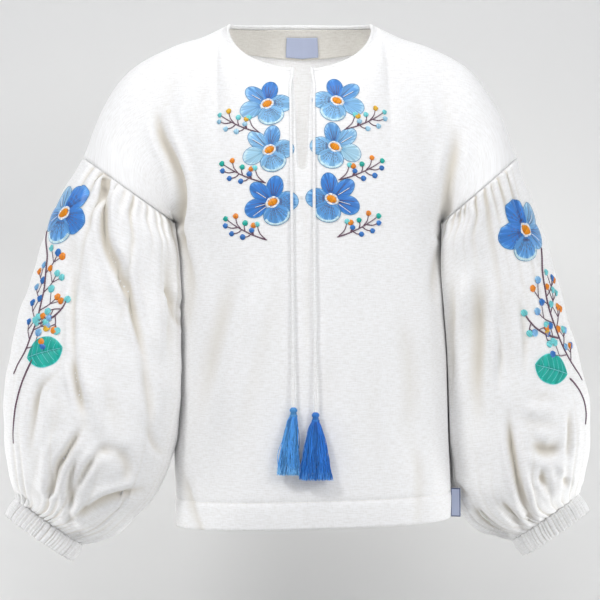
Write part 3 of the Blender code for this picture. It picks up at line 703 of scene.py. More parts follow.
# Creases of the back, as seen through the blouse from the front
BACK_CREASES = (
    Crease(((-120, -80), (-112, -120), (-106, -160), (-104, -200)), 6.7, 5.8, 0.0, 0.3),
    Crease(((124, -84), (116, -122), (108, -164), (106, -210)), 7.1, 5.8, 0.0, 0.3),
    Crease(((-40, -60), (-46, -140), (-44, -230)), 2.6, 7.5),
    Crease(((34, -70), (38, -160), (33, -260)), 2.4, 7.5),
    Crease(((0, -180), (-4, -290), (2, -400)), 2.0, 10.0),
    Crease(((-80, -280), (-84, -370), (-78, -460)), 2.9, 7.5, 0.0, 0.7),
    Crease(((72, -300), (80, -380), (76, -460)), 2.6, 8.4, 0.0, 0.7),
    Crease(((-110, -196), (-98, -232), (-90, -276)), 3.4, 5.0, 0.8, 0.0),
    Crease(((122, -200), (108, -238), (98, -290)), 3.4, 5.0, 0.8, 0.0),
)

# Creases of the left sleeve's front: the main fold, the pleats of the seam, those of the puff
LEFT_SLEEVE_CREASES = (
    Crease(
        (
            (-184, -140),
            (-186, -173),
            (-185, -205),
            (-178, -226),
            (-169, -252),
            (-162, -281),
            (-155, -309),
            (-146, -342),
        ),
        10.0,
        4.0,
        0.7,
        0.0,
    ),
    Crease(((-203, -176), (-199, -240), (-190, -300)), -3.2, 7.3),
    Crease(((-149, -215), (-143, -260), (-137, -320)), -2.9, 6.9),
    Crease(((-131, -205), (-129, -280), (-131, -330)), 2.6, 4.5),
    Crease(((-133, -247), (-125, -262), (-119, -269)), 4.9, 3.6, 0.0, 0.8),
    Crease(((-214, -226), (-216, -271), (-215, -311), (-210, -342)), 3.6, 2.9),
    Crease(((-217, -311), (-214, -333), (-209, -357), (-206, -376)), 7.5, 3.7),
    Crease(((-206, -380), (-218, -401), (-230, -421), (-237, -444)), 7.8, 3.6, 0.1, 0.6),
    Crease(((-188, -401), (-200, -418), (-211, -437), (-217, -454)), 5.4, 3.6, 0.0, 0.7),
    Crease(((-205, -466), (-190, -455), (-166, -446), (-142, -439)), 7.1, 4.5, 0.6, 0.0),
    Crease(((-247, -336), (-255, -376), (-258, -414)), 2.9, 3.1),
    Crease(((-238, -342), (-243, -385), (-247, -423)), -3.6, 4.9),
    Crease(((-180, -395), (-169, -423), (-171, -442)), 3.6, 5.3),
    Crease(((-157, -309), (-149, -357), (-146, -395)), 3.3, 5.3),
    Crease(((-200, -330), (-192, -372), (-186, -400)), -3.2, 6.5),
    Crease(((-212, -410), (-219, -437), (-219, -468)), 5.6, 3.6, 0.2, 0.5),
    Crease(((-200, -456), (-217, -473)), 4.2, 3.6, 0.2, 0.5),
    Crease(((-127, -265), (-117, -291)), 5.4, 3.6, 0.5, 0.0),
    Crease(((-225, -328), (-245, -342), (-255, -382)), 3.4, 3.2),
    Crease(((-189, -398), (-182, -412)), 4.0, 7.4),
    Crease(((-152, -376), (-140, -404), (-128, -412)), 3.2, 4.5),
    Crease(((-226, -380), (-240, -408), (-246, -440)), -3.4, 4.2, 0.0, 0.6),
)

# Creases of the right sleeve's front
RIGHT_SLEEVE_CREASES = (
    Crease(((174, -228), (172, -290), (171, -357), (174, -395)), 5.4, 6.1),
    Crease(((187, -224), (186, -290), (184, -357)), -2.6, 6.1),
    Crease(((150, -233), (149, -300), (151, -376)), 3.2, 5.3),
    Crease(((160, -233), (160, -309)), -2.6, 5.3),
    Crease(((198, -368), (200, -395), (204, -418), (210, -444), (219, -469)), 9.0, 3.9, 0.1, 0.5),
    Crease(((257, -361), (257, -395), (253, -423)), 4.3, 3.6),
    Crease(((247, -414), (249, -433)), -3.2, 2.9),
    Crease(((228, -418), (233, -433), (236, -444)), 4.3, 3.6, 0.0, 0.5),
    Crease(((162, -456), (176, -471), (195, -485)), 5.4, 4.5, 0.0, 0.5),
    Crease(((147, -433), (162, -452)), 3.6, 4.0),
    Crease(((212, -420), (217, -440), (224, -462)), -2.9, 3.6),
    Crease(((218, -396), (236, -405), (253, -397)), 8.0, 7.2),
    Crease(((228, -428), (233, -440)), 5.0, 3.6),
    Crease(((252, -428), (254, -442)), 4.6, 3.6),
    Crease(((189, -452), (211, -477)), 5.4, 3.6, 0.0, 0.5),
    Crease(((209, -362), (228, -367), (250, -367)), -4.0, 6.4),
    Crease(((184, -262), (190, -312), (187, -356)), 3.8, 3.6),
    Crease(((207, -250), (214, -300), (212, -340)), 3.0, 3.8),
)


@dataclass(frozen=True)
class Pleat:
    """A gather at a sleeve's seam or cuff: its angle, depth, width and reach down the sleeve."""

    turn: float
    depth: float
    width: float
    reach: float

    def press(self, degrees: Array, fade: float, lip: float) -> Array:
        """Returns how deep the gather presses in, less its raised lips.

        Args:
            degrees: Angles round the sleeve.
            fade: The share of its depth that is left at this row.
            lip: The height of its lips, as a share of its depth.

        Returns:
            The depth at each angle, in metres.
        """
        apart = (degrees - self.turn + 180.0) % 360.0 - 180.0
        valley = 0.4 * np.exp(-((apart / self.width) ** 2))
        valley = valley + 0.6 * np.exp(-np.abs(apart) / (0.5 * self.width))
        lips = lip * np.exp(-(((np.abs(apart) - 1.8 * self.width) / self.width) ** 2))
        return self.depth * fade * (valley - lips)


def gathers(
    seed: int, low: float, high: float, count: int, depth: float, reach: float
) -> tuple[Pleat, ...]:
    """Spreads uneven gathers between two angles.

    Args:
        seed: Makes the row its own.
        low: The first angle, in degrees.
        high: The last angle, in degrees.
        count: How many gathers there are.
        depth: Their usual depth, in metres.
        reach: How many rows of the sleeve they usually run over.

    Returns:
        The gathers.
    """
    rng = np.random.default_rng(seed)
    gap = (high - low) / count
    made = []
    for i in range(count):
        turn = low + gap * (i + 0.5 + 0.34 * (rng.random() - 0.5) * 2.0)
        made.append(
            Pleat(
                turn,
                depth * (0.45 + rng.random()),
                gap * (0.24 + 0.14 * rng.random()),
                reach * (0.4 + 1.2 * rng.random()),
            )
        )
    return tuple(made)


@dataclass
class Body:
    """The form of the body: sections, shoulder ridge and the drape of each line of its cloth."""

    centre_x: float = 0.002
    underarm_z: float = -0.188
    hem_z: float = -0.4705
    hem_slope: float = 0.028
    hem_depth: float = 0.025
    squareness: float = 2.4
    neck_share: float = 0.36
    neck_front: tuple = (-0.060, -0.050)
    neck_back: tuple = (0.050, 0.002)
    slit_foot: float = -0.1432
    slit_reach: float = 0.032
    wall: float = 0.0014
    hem_wall: float = 0.0024
    sections: tuple = (
        (-0.188, 0.1205, 0.1320, 0.0955, 0.0860),
        (-0.230, 0.1185, 0.1325, 0.0965, 0.0885),
        (-0.296, 0.1190, 0.1360, 0.0980, 0.0910),
        (-0.376, 0.1205, 0.1385, 0.0990, 0.0930),
        (-0.430, 0.1205, 0.1400, 0.0995, 0.0940),
        (-0.480, 0.1190, 0.1405, 0.0995, 0.0940),
    )
    ridge: tuple = (
        (0.000, 0.0695, -0.0015),
        (0.116, 0.0900, -0.0115),
        (0.296, 0.1235, -0.0225),
        (0.525, 0.1625, -0.0450),
        (0.724, 0.1850, -0.0765),
        (1.000, 0.2050, -0.1270),
    )
    columns: tuple = ((0.00, 0.0), (0.36, 34.0), (0.60, 61.0), (0.80, 76.0), (1.00, 90.0))
    front_drape: tuple = (
        (0.00, 0.000, -0.020, -0.029, 0.000, -0.001, 0.052),
        (0.36, 0.014, -0.044, -0.005, 0.001, 0.002, 0.083),
        (0.60, 0.002, -0.050, -0.004, 0.010, -0.006, 0.062),
        (0.80, 0.006, -0.058, -0.008, 0.008, -0.040, 0.042),
        (1.00, 0.000, -0.085, 0.000, 0.000, -0.080, 0.000),
    )
    back_drape: tuple = (
        (0.00, 0.000, 0.016, -0.030, 0.000, 0.002, 0.075),
        (0.36, 0.018, 0.037, -0.008, 0.004, 0.000, 0.086),
        (0.60, 0.002, 0.048, -0.004, 0.010, 0.006, 0.066),
        (0.80, 0.006, 0.056, -0.008, 0.008, 0.038, 0.042),
        (1.00, 0.000, 0.085, 0.000, 0.000, 0.080, 0.000),
    )
    slit: tuple = ((-0.140, 0.0036), (-0.122, 0.0047), (-0.085, 0.0062), (-0.050, 0.0095))
    folds: tuple = (
        (-1, -1, 66.0, -0.150, -0.480, 0.0030, 9.0),
        (-1, -1, 40.0, -0.300, -0.500, 0.0018, 10.0),
        (-1, 1, 68.0, -0.150, -0.480, 0.0032, 9.0),
        (-1, 1, 45.0, -0.290, -0.500, 0.0018, 10.0),
        (1, -1, 62.0, -0.140, -0.480, 0.0032, 10.0),
        (1, -1, 24.0, -0.120, -0.490, 0.0028, 9.0),
        (1, 1, 60.0, -0.150, -0.480, 0.0030, 10.0),
        (1, 1, 20.0, -0.160, -0.500, 0.0026, 9.0),
    )

    @property
    def hem_stitch(self) -> float:
        """The fall at which the hem is sewn."""
        return 2.0 - self.hem_depth / (self.underarm_z - self.hem_z)

    def ring(self, z: Array, side: Array, degrees: Array, face: int) -> Array:
        """Returns points of the body at heights z, degrees round from its middle line."""
        left, right, front, back = through(self.sections, z).T
        press = np.zeros(np.shape(z))
        for which, hand, middle, top, foot, depth, width in self.folds:
            if which == face:
                run = bump((top - z) / (top - foot))
                press += depth * run * np.exp(-(((side * degrees - hand * middle) / width) ** 2))
        half = np.where(side < 0, left, right) - press
        reach = (front if face < 0 else back) - press
        angle, power = np.radians(degrees), 2.0 / self.squareness
        x = self.centre_x + side * half * np.abs(np.sin(angle)) ** power
        y = face * reach * np.abs(np.cos(angle)) ** power
        return np.stack([x, y, np.broadcast_to(z, x.shape)], -1)

    def top_edge(self, side: Array, share: Array, face: int) -> Array:
        """Returns the neckline up to the neck point, and then the shoulder seam."""
        turn = np.radians(90.0) * np.clip(share / self.neck_share, 0.0, 1.0)
        reach, middle = self.neck_front if face < 0 else self.neck_back
        neck_x = side * self.ridge[0][1] * np.sin(turn) + self.centre_x * np.cos(turn) ** 2
        neck_z = self.ridge[0][2] + (middle - self.ridge[0][2]) * np.cos(turn)
        along = np.clip((share - self.neck_share) / (1.0 - self.neck_share), 0.0, 1.0)
        ridge_x, ridge_z = through(self.ridge, along).T
        on_neck = share < self.neck_share
        x = np.where(on_neck, neck_x, side * ridge_x)
        y = np.where(on_neck, reach * np.cos(turn), 0.0)
        return np.stack([x, y, np.where(on_neck, neck_z, ridge_z)], -1)

    def place(self, share: Array | float, fall: Array | float, face: int) -> Array:
        """Finds points of a panel.

        Args:
            share: From -1 at the left seam to 1 at the right one.
            fall: 0 at the top edge, 1 at the underarm level and 2 at the hem.
            face: -1 for the front and 1 for the back.

        Returns:
            The points.
        """
        share, fall = (a.ravel() for a in np.broadcast_arrays(np.asarray(share, float), fall))
        side = np.where(share < 0, -1.0, 1.0)
        share = np.abs(share)
        degrees = through(self.columns, share)[:, 0]
        top = self.top_edge(side, share, face)
        foot = self.ring(np.full(share.shape, self.underarm_z), side, degrees, face)
        pull = through(self.front_drape if face < 0 else self.back_drape, share)
        pull[:, 0] *= side
        pull[:, 3] *= side
        t = np.clip(fall, 0.0, 1.0)[:, None]
        upper = (1 - t) ** 3 * top + 3 * (1 - t) ** 2 * t * (top + pull[:, :3])
        upper = upper + 3 * (1 - t) * t * t * (foot + pull[:, 3:]) + t**3 * foot
        hem = self.hem_z + self.hem_slope * (foot[:, 0] - self.centre_x)
        down = np.clip(fall - 1.0, 0.0, 1.0)
        lower = self.ring(self.underarm_z + (hem - self.underarm_z) * down, side, degrees, face)
        points = np.where(fall[:, None] > 1.0, lower, upper)
        points[:, 1] = face * np.maximum(face * points[:, 1], 0.0001)
        return points

    def seam_normal(self, side: int) -> Array:
        """Returns the unit normal of a dropped seam's plane, pointing into the sleeve."""
        top = self.place(side * 1.0, 0.0, -1)[0]
        foot = self.place(side * 1.0, 1.0, -1)[0]
        slope = top - foot
        return unit(np.array([side * slope[2], 0.0, -abs(slope[0])]))

    def clear(self, points: Array, clearance: float) -> Array:
        """Returns points moved out from the body's middle until they stand clear of its side."""
        left, right, front, back = through(self.sections, points[:, 2]).T
        x = (points[:, 0] - self.centre_x) / np.where(points[:, 0] < self.centre_x, left, right)
        y = points[:, 1] / np.where(points[:, 1] < 0, front, back)
        reach = (np.abs(x) ** self.squareness + np.abs(y) ** self.squareness) ** (1.0 / self.squareness)
        grow = np.maximum((1.0 + clearance / left) / np.maximum(reach, 1e-6), 1.0)
        moved = points.copy()
        moved[:, 0] = self.centre_x + (points[:, 0] - self.centre_x) * grow
        moved[:, 1] = points[:, 1] * grow
        return moved

    def shares(self, count: int) -> Array:
        """Returns the lines of the cloth from side to side, closer in the middle."""
        inner = np.linspace(0.0, self.neck_share, round(0.5 * count))
        half = np.concatenate([inner, np.linspace(self.neck_share, 1.0, round(0.5 * count) + 1)[1:]])
        return np.concatenate([-half[:0:-1], half])

    def falls(self, upper: int, lower: int) -> Array:
        """Returns the rows from the top edge to the hem, closer at the hem's stitching."""
        stitch = self.hem_stitch
        rows = [np.linspace(0.0, 1.0, upper), np.linspace(1.0, stitch - 0.006, lower)[1:]]
        rows.append(stitch + np.array([-0.003, 0.0, 0.003, 0.006]))
        rows.append(np.linspace(stitch + 0.006, 2.0, 10)[1:])
        return np.concatenate(rows)

    def slit_half(self, z: Array) -> Array:
        """Returns the half width of the open slit at each height, round at its foot."""
        half = through(self.slit, z)[:, 0]
        close = np.clip((z - self.slit_foot) / 0.0042, 0.0, 1.0)
        return half * np.sqrt(close * (2.0 - close))

    def skin(self, face: int, columns: int, upper: int, lower: int) -> tuple[Skin, Array, Array]:
        """Makes the surface of a panel, open along the slit on the front.

        Args:
            face: -1 for the front and 1 for the back.
            columns: About how many lines of cloth each half has.
            upper: Rows above the underarm.
            lower: Rows below it.

        Returns:
            The surface, and the share and fall of each of its points.
        """
        shares, falls = self.shares(columns), self.falls(upper, lower)
        share, fall = (a.ravel() for a in np.meshgrid(shares, falls))
        points = self.place(share, fall, face)
        width = len(shares)
        grid = points.reshape(len(falls), width, 3)
        level = int(np.argmin(np.abs(falls - 1.0)))
        run = np.concatenate([[0.0], np.cumsum(np.linalg.norm(np.diff(grid[level], axis=0), axis=1))])
        run -= run[width // 2]
        drop = np.linalg.norm(np.diff(grid, axis=0), axis=2)
        drop = np.concatenate([np.zeros((1, width)), np.cumsum(drop, axis=0)])
        drop = drop - drop[level]
        keep = smooth(0.2, 1.0, falls)[:, None]
        across = grid[..., 0] * (1 - keep) + run[None, :] * keep
        flat = np.stack([across, -drop], -1).reshape(-1, 2)
        quads = grid_quads(len(falls), width)
        if face > 0:
            return Skin(points, quads[:, ::-1], flat[quads[:, ::-1]]), share, fall
        corners = flat[quads]
        middle = width // 2
        left = np.flatnonzero(grid[:, middle, 2] > self.slit_foot + 1e-5) * width + middle
        away = points[:, 0] - self.centre_x
        open_half = np.where(points[:, 2] > self.slit_foot, self.slit_half(points[:, 2]), 0.0)
        spread = open_half * np.clip(1.0 - np.abs(away) / self.slit_reach, 0.0, 1.0) ** 2
        points[:, 0] += np.where(away < -1e-9, -spread, spread)
        twins = points[left].copy()
        points[left, 0] = 2.0 * self.centre_x - twins[:, 0]
        right = len(points) + np.arange(len(left))
        number = np.arange(len(points))
        number[left] = right
        on_right = (quads % width).min(axis=1) >= middle
        quads[on_right] = number[quads[on_right]]
        return (
            Skin(np.concatenate([points, twins]), quads, corners),
            np.concatenate([share, share[left] + 1e-6]),
            np.concatenate([fall, fall[left]]),
        )


@dataclass
class SleeveForm:
    """The form of a sleeve: its outline from the front, its depth and how it hangs."""

    body: Body
    side: Side
    clearance: float = 0.0019
    sections: tuple = (
        (0.0, 0.2050, 0.2050, -0.1270, 0.1185, 0.1340, -0.1880, 0.0620, 2.0),
        (1.0, 0.2160, 0.2110, -0.1450, 0.1190, 0.1350, -0.2030, 0.0680, 2.1),
        (2.0, 0.2280, 0.2205, -0.1667, 0.1160, 0.1320, -0.2210, 0.0690, 2.2),
        (3.0, 0.2404, 0.2318, -0.1971, 0.1140, 0.1300, -0.2430, 0.0690, 2.2),
        (4.0, 0.2537, 0.2451, -0.2427, 0.1130, 0.1300, -0.2790, 0.0690, 2.2),
        (5.0, 0.2641, 0.2550, -0.2750, 0.1130, 0.1310, -0.3000, 0.0690, 2.2),
        (6.0, 0.2727, 0.2665, -0.3140, 0.1130, 0.1330, -0.3377, 0.0700, 2.2),
        (7.0, 0.2774, 0.2774, -0.3567, 0.1170, 0.1360, -0.3757, 0.0710, 2.2),
        (8.0, 0.2758, 0.2785, -0.3947, 0.1264, 0.1425, -0.4137, 0.0690, 2.2),
        (9.0, 0.2717, 0.2746, -0.4232, 0.1378, 0.1455, -0.4450, 0.0620, 2.2),
        (10.0, 0.2695, 0.2725, -0.4350, 0.1570, 0.1570, -0.4680, 0.0500, 2.1),
        (11.0, 0.2675, 0.2690, -0.4420, 0.1780, 0.1780, -0.4835, 0.0340, 2.0),
        (12.0, 0.2660, 0.2660, -0.4479, 0.2043, 0.2043, -0.4907, 0.0170, 2.0),
    )
    swing: tuple = ((0.0, 0.0, 0.0), (3.0, -0.010, 0.013), (7.0, -0.028, 0.028), (12.0, -0.022, 0.022))
    left_folds: tuple = (
        (72.0, 5.0, 0.2, 6.5, 0.0020, 9.0),
        (214.0, 2.0, 0.3, 6.0, 0.0050, 11.0),
        (262.0, -3.0, 0.3, 7.0, 0.0060, 10.0),
        (236.0, 2.0, 6.4, 12.2, 0.0055, 10.0),
        (290.0, -2.0, 7.0, 12.2, 0.0060, 10.0),
        (320.0, 1.0, 5.0, 12.2, 0.0030, 9.0),
    )
    right_folds: tuple = (
        (78.0, 4.0, 0.2, 6.0, 0.0018, 9.0),
        (218.0, 3.0, 0.3, 6.5, 0.0050, 11.0),
        (268.0, -2.0, 0.3, 6.0, 0.0055, 10.0),
        (232.0, 1.0, 6.8, 12.2, 0.0055, 10.0),
        (284.0, -2.0, 6.6, 12.2, 0.0060, 10.0),
        (316.0, 1.0, 5.4, 12.2, 0.0030, 9.0),
    )

    def section(self, row: float) -> tuple[Array, Array, float, float]:
        """Returns the centre, half width, half depth and squareness of one row."""
        values = through(self.sections, row)[0]
        hand = self.side.value
        outer = hand * (values[0] if hand < 0 else values[1])
        inner = hand * (values[3] if hand < 0 else values[4])
        swing = through(self.swing, row)[0][0 if hand < 0 else 1]
        centre = np.array([0.5 * (outer + inner), swing, 0.5 * (values[2] + values[5])])
        half = np.array([0.5 * (outer - inner), 0.0, 0.5 * (values[2] - values[5])])
        return centre, half, values[6], values[7]

    def axis(self) -> Array:
        """Returns the unit direction out of the sleeve through its cuff."""
        _, half, _, _ = self.section(12.0)
        way = unit(np.cross(half, (0.0, 1.0, 0.0)))
        return way if way[2] < 0 else -way

    def swell(self, row: float, degrees: Array, pleats: tuple, cuff_pleats: tuple) -> Array:
        """Measures how far the puff, the gathers and the long folds stand out of the plain form.

        Args:
            row: The row, from 0 at the seam to 12 at the cuff.
            degrees: Angles from the outer edge through the front.
            pleats: Gathers of the dropped seam.
            cuff_pleats: Gathers into the cuff.

        Returns:
            Heights in metres.
        """
        height = np.zeros(len(degrees))
        gathered = 1.0 - np.exp(-((np.minimum(degrees, 360.0 - degrees) / 40.0) ** 4))
        height += 0.0034 * gathered * smooth(0.0, 0.28, row) * math.exp(-row / 2.0)
        height -= 0.0009 * math.exp(-(((row - 0.03) / 0.05) ** 2))
        for pleat in pleats:
            fade = math.exp(-((row / pleat.reach) ** 1.6)) * float(smooth(0.0, 0.22, row))
            height -= pleat.press(degrees, fade, 0.30)
        up = 12.0 - row
        for pleat in cuff_pleats:
            fade = math.exp(-((up / pleat.reach) ** 1.5))
            height -= pleat.press(degrees, fade, 0.35)
        underarm = np.exp(-(((degrees - 180.0) / 14.0) ** 2)) * math.exp(-row / 0.6)
        height = height * (1.0 - underarm) - 0.0009 * underarm
        folds = self.left_folds if self.side is Side.LEFT else self.right_folds
        for middle, lean, top, foot, depth, width in folds:
            run = float(bump(np.array((row - top) / (foot - top))))
            apart = (degrees - middle - lean * (row - 6.0) + 180.0) % 360.0 - 180.0
            height -= depth * run * np.exp(-((apart / width) ** 2))
        return height

    def skin(
        self, columns: int, rows: Array, pleats: tuple, cuff_pleats: tuple
    ) -> tuple[Skin, Array, Array]:
        """Makes the surface of the sleeve.

        Args:
            columns: Points round it.
            rows: Rows from 0 at the seam to 12 at the cuff.
            pleats: Gathers of the dropped seam.
            cuff_pleats: Gathers into the cuff.

        Returns:
            The surface, and the row and angle of each of its points.
        """
        hand = self.side.value
        turn = np.linspace(0.0, 2.0 * np.pi, columns, endpoint=False)
        degrees = np.degrees(turn)
        seam = self.body.seam_normal(hand)
        fall = np.where(turn <= np.pi, turn, 2.0 * np.pi - turn) / np.pi
        front, back = self.body.place(hand * 1.0, fall, -1), self.body.place(hand * 1.0, fall, 1)
        edge = np.where((turn <= np.pi)[:, None], front, back) + seam * 0.0003
        rings, gathered = [], []
        for row in rows:
            centre, half, depth, square = self.section(row)
            power = 2.0 / square
            wide = np.sign(np.cos(turn)) * np.abs(np.cos(turn)) ** power
            deep = np.sign(np.sin(turn)) * np.abs(np.sin(turn)) ** power
            ring = centre + wide[:, None] * half - deep[:, None] * np.array([0.0, depth, 0.0])
            blend = float(smooth(0.0, 0.5, row))
            ring = ring if blend >= 1.0 else (edge + seam * 0.011 * row) * (1 - blend) + ring * blend
            across = unit(np.cross(half, (0.0, 1.0, 0.0)))
            out = ring - centre
            out = unit(out - np.outer(out @ across, across))
            swell = self.swell(row, degrees, pleats, cuff_pleats)
            # Painted shade: how far the gathers press in sets how much darker fold colour the sleeve is
            # painted with
            gathered.append(1.6 * np.minimum(swell - self.swell(row, degrees, (), ()), 0.0))
            ring = ring + out * swell[:, None]
            rings.append(self.body.clear(ring, self.clearance) if row > 0.02 else ring)
        points = np.concatenate(rings)
        quads = grid_quads(len(rows), columns, wrap=True)
        length = np.linalg.norm(np.diff(np.array(rings), axis=0), axis=2).mean(axis=1)
        down = np.concatenate([[0.0], np.cumsum(length)])
        round_it = 0.40 * np.arange(columns + 1) / columns
        i, j = np.meshgrid(np.arange(len(rows) - 1), np.arange(columns), indexing="ij")
        corners = np.stack(
            [
                np.stack([round_it[j], -down[i]], -1),
                np.stack([round_it[j], -down[i + 1]], -1),
                np.stack([round_it[j + 1], -down[i + 1]], -1),
                np.stack([round_it[j + 1], -down[i]], -1),
            ],
            2,
        ).reshape(-1, 4, 2)
        if hand > 0:
            quads, corners = quads[:, ::-1], corners[:, ::-1]
        skin = Skin(points, quads, corners)
        skin.mark(np.concatenate(gathered))
        return skin, np.repeat(rows, columns), np.tile(degrees, len(rows))


def tube(
    path: Array, wide: Array | float, thick: Array | float, around: int, out: Array | None = None
) -> tuple[Array, Array]:
    """Makes the rings of a tube that follows a path.

    Args:
        path: Points of its middle line.
        wide: Its half width at each point.
        thick: Its half thickness at each point.
        around: Points in a ring.
        out: The direction of its thickness at each point.

    Returns:
        Points of the rings, and the faces between them.
    """
    along = unit(np.gradient(path, axis=0))
    outward = np.tile([0.0, -1.0, 0.0], (len(path), 1)) if out is None else out
    across = unit(np.cross(along, outward))
    outward = unit(np.cross(across, along))
    turn = np.linspace(0.0, 2.0 * np.pi, around, endpoint=False)
    wide = (np.zeros(len(path)) + wide)[:, None, None]
    thick = (np.zeros(len(path)) + thick)[:, None, None]
    ring = across[:, None] * np.cos(turn)[
        None, :, None
    ] * wide + outward[:, None] * np.sin(turn)[None, :, None] * thick
    points = (path[:, None] + ring).reshape(-1, 3)
    return points, grid_quads(len(path), around, wrap=True)


@dataclass
class Ground:
    """The cloth that needlework lies on."""

    tree: BVHTree

    def land(self, x: float, z: float) -> tuple[Array, Array]:
        """Finds the place of the cloth that is seen at a place of the middle plane.

        Args:
            x: Millimetres to the right.
            z: Millimetres up.

        Returns:
            The point and the normal there.
        """
        aim = unit(np.array([x * MM, 0.0, z * MM]) - EYE)
        place, normal, _, _ = self.tree.ray_cast(Vector(EYE), Vector(aim))
        if place is None:
            best = None
            for far in np.linspace(2.10, 2.26, 33):
                place, normal, _, away = self.tree.find_nearest(Vector(EYE + aim * far / -aim[1] * -1.0))
                if best is None or away < best[0]:
                    best = (away, place, normal)
            _, place, normal = best
        return np.array(place), np.array(normal)

    def settle(self, points: Array, lift: Array) -> Array:
        """Lays points on the cloth, each at its own height over it."""
        laid, facing = np.empty_like(points), np.empty_like(points)
        for i, point in enumerate(points):
            laid[i], facing[i] = self.tree.find_nearest(Vector(point))[:2]
        if np.linalg.norm(np.ptp(points, axis=0)) < 0.07:
            facing[:] = unit(facing.mean(axis=0))
            for i, point in enumerate(points):
                place = self.tree.ray_cast(Vector(point + facing[i] * 0.02), Vector(-facing[i]), 0.05)[0]
                laid[i] = laid[i] if place is None else place
        return laid + facing * np.asarray(lift)[:, None]

    def frame(self, x: float, z: float, turn: float = 0.0) -> tuple[Array, Array, Array]:
        """Returns a place on the cloth with its directions across and up, turned by degrees."""
        place = self.land(x, z)[0]
        around = [
            self.land(x + dx, z + dz)[1] for dx in (-14.0, -7.0, 0.0, 7.0) for dz in (-14.0, 0.0, 14.0)
        ]
        normal = unit(np.mean(around, axis=0))
        across = unit(np.cross(normal, (0.0, 0.0, 1.0))) * -1.0
        up = unit(np.cross(normal, across))
        up = up if up[2] > 0 else -up
        c, s = math.cos(math.radians(turn)), math.sin(math.radians(turn))
        return place, across * c + up * s, up * c - across * s


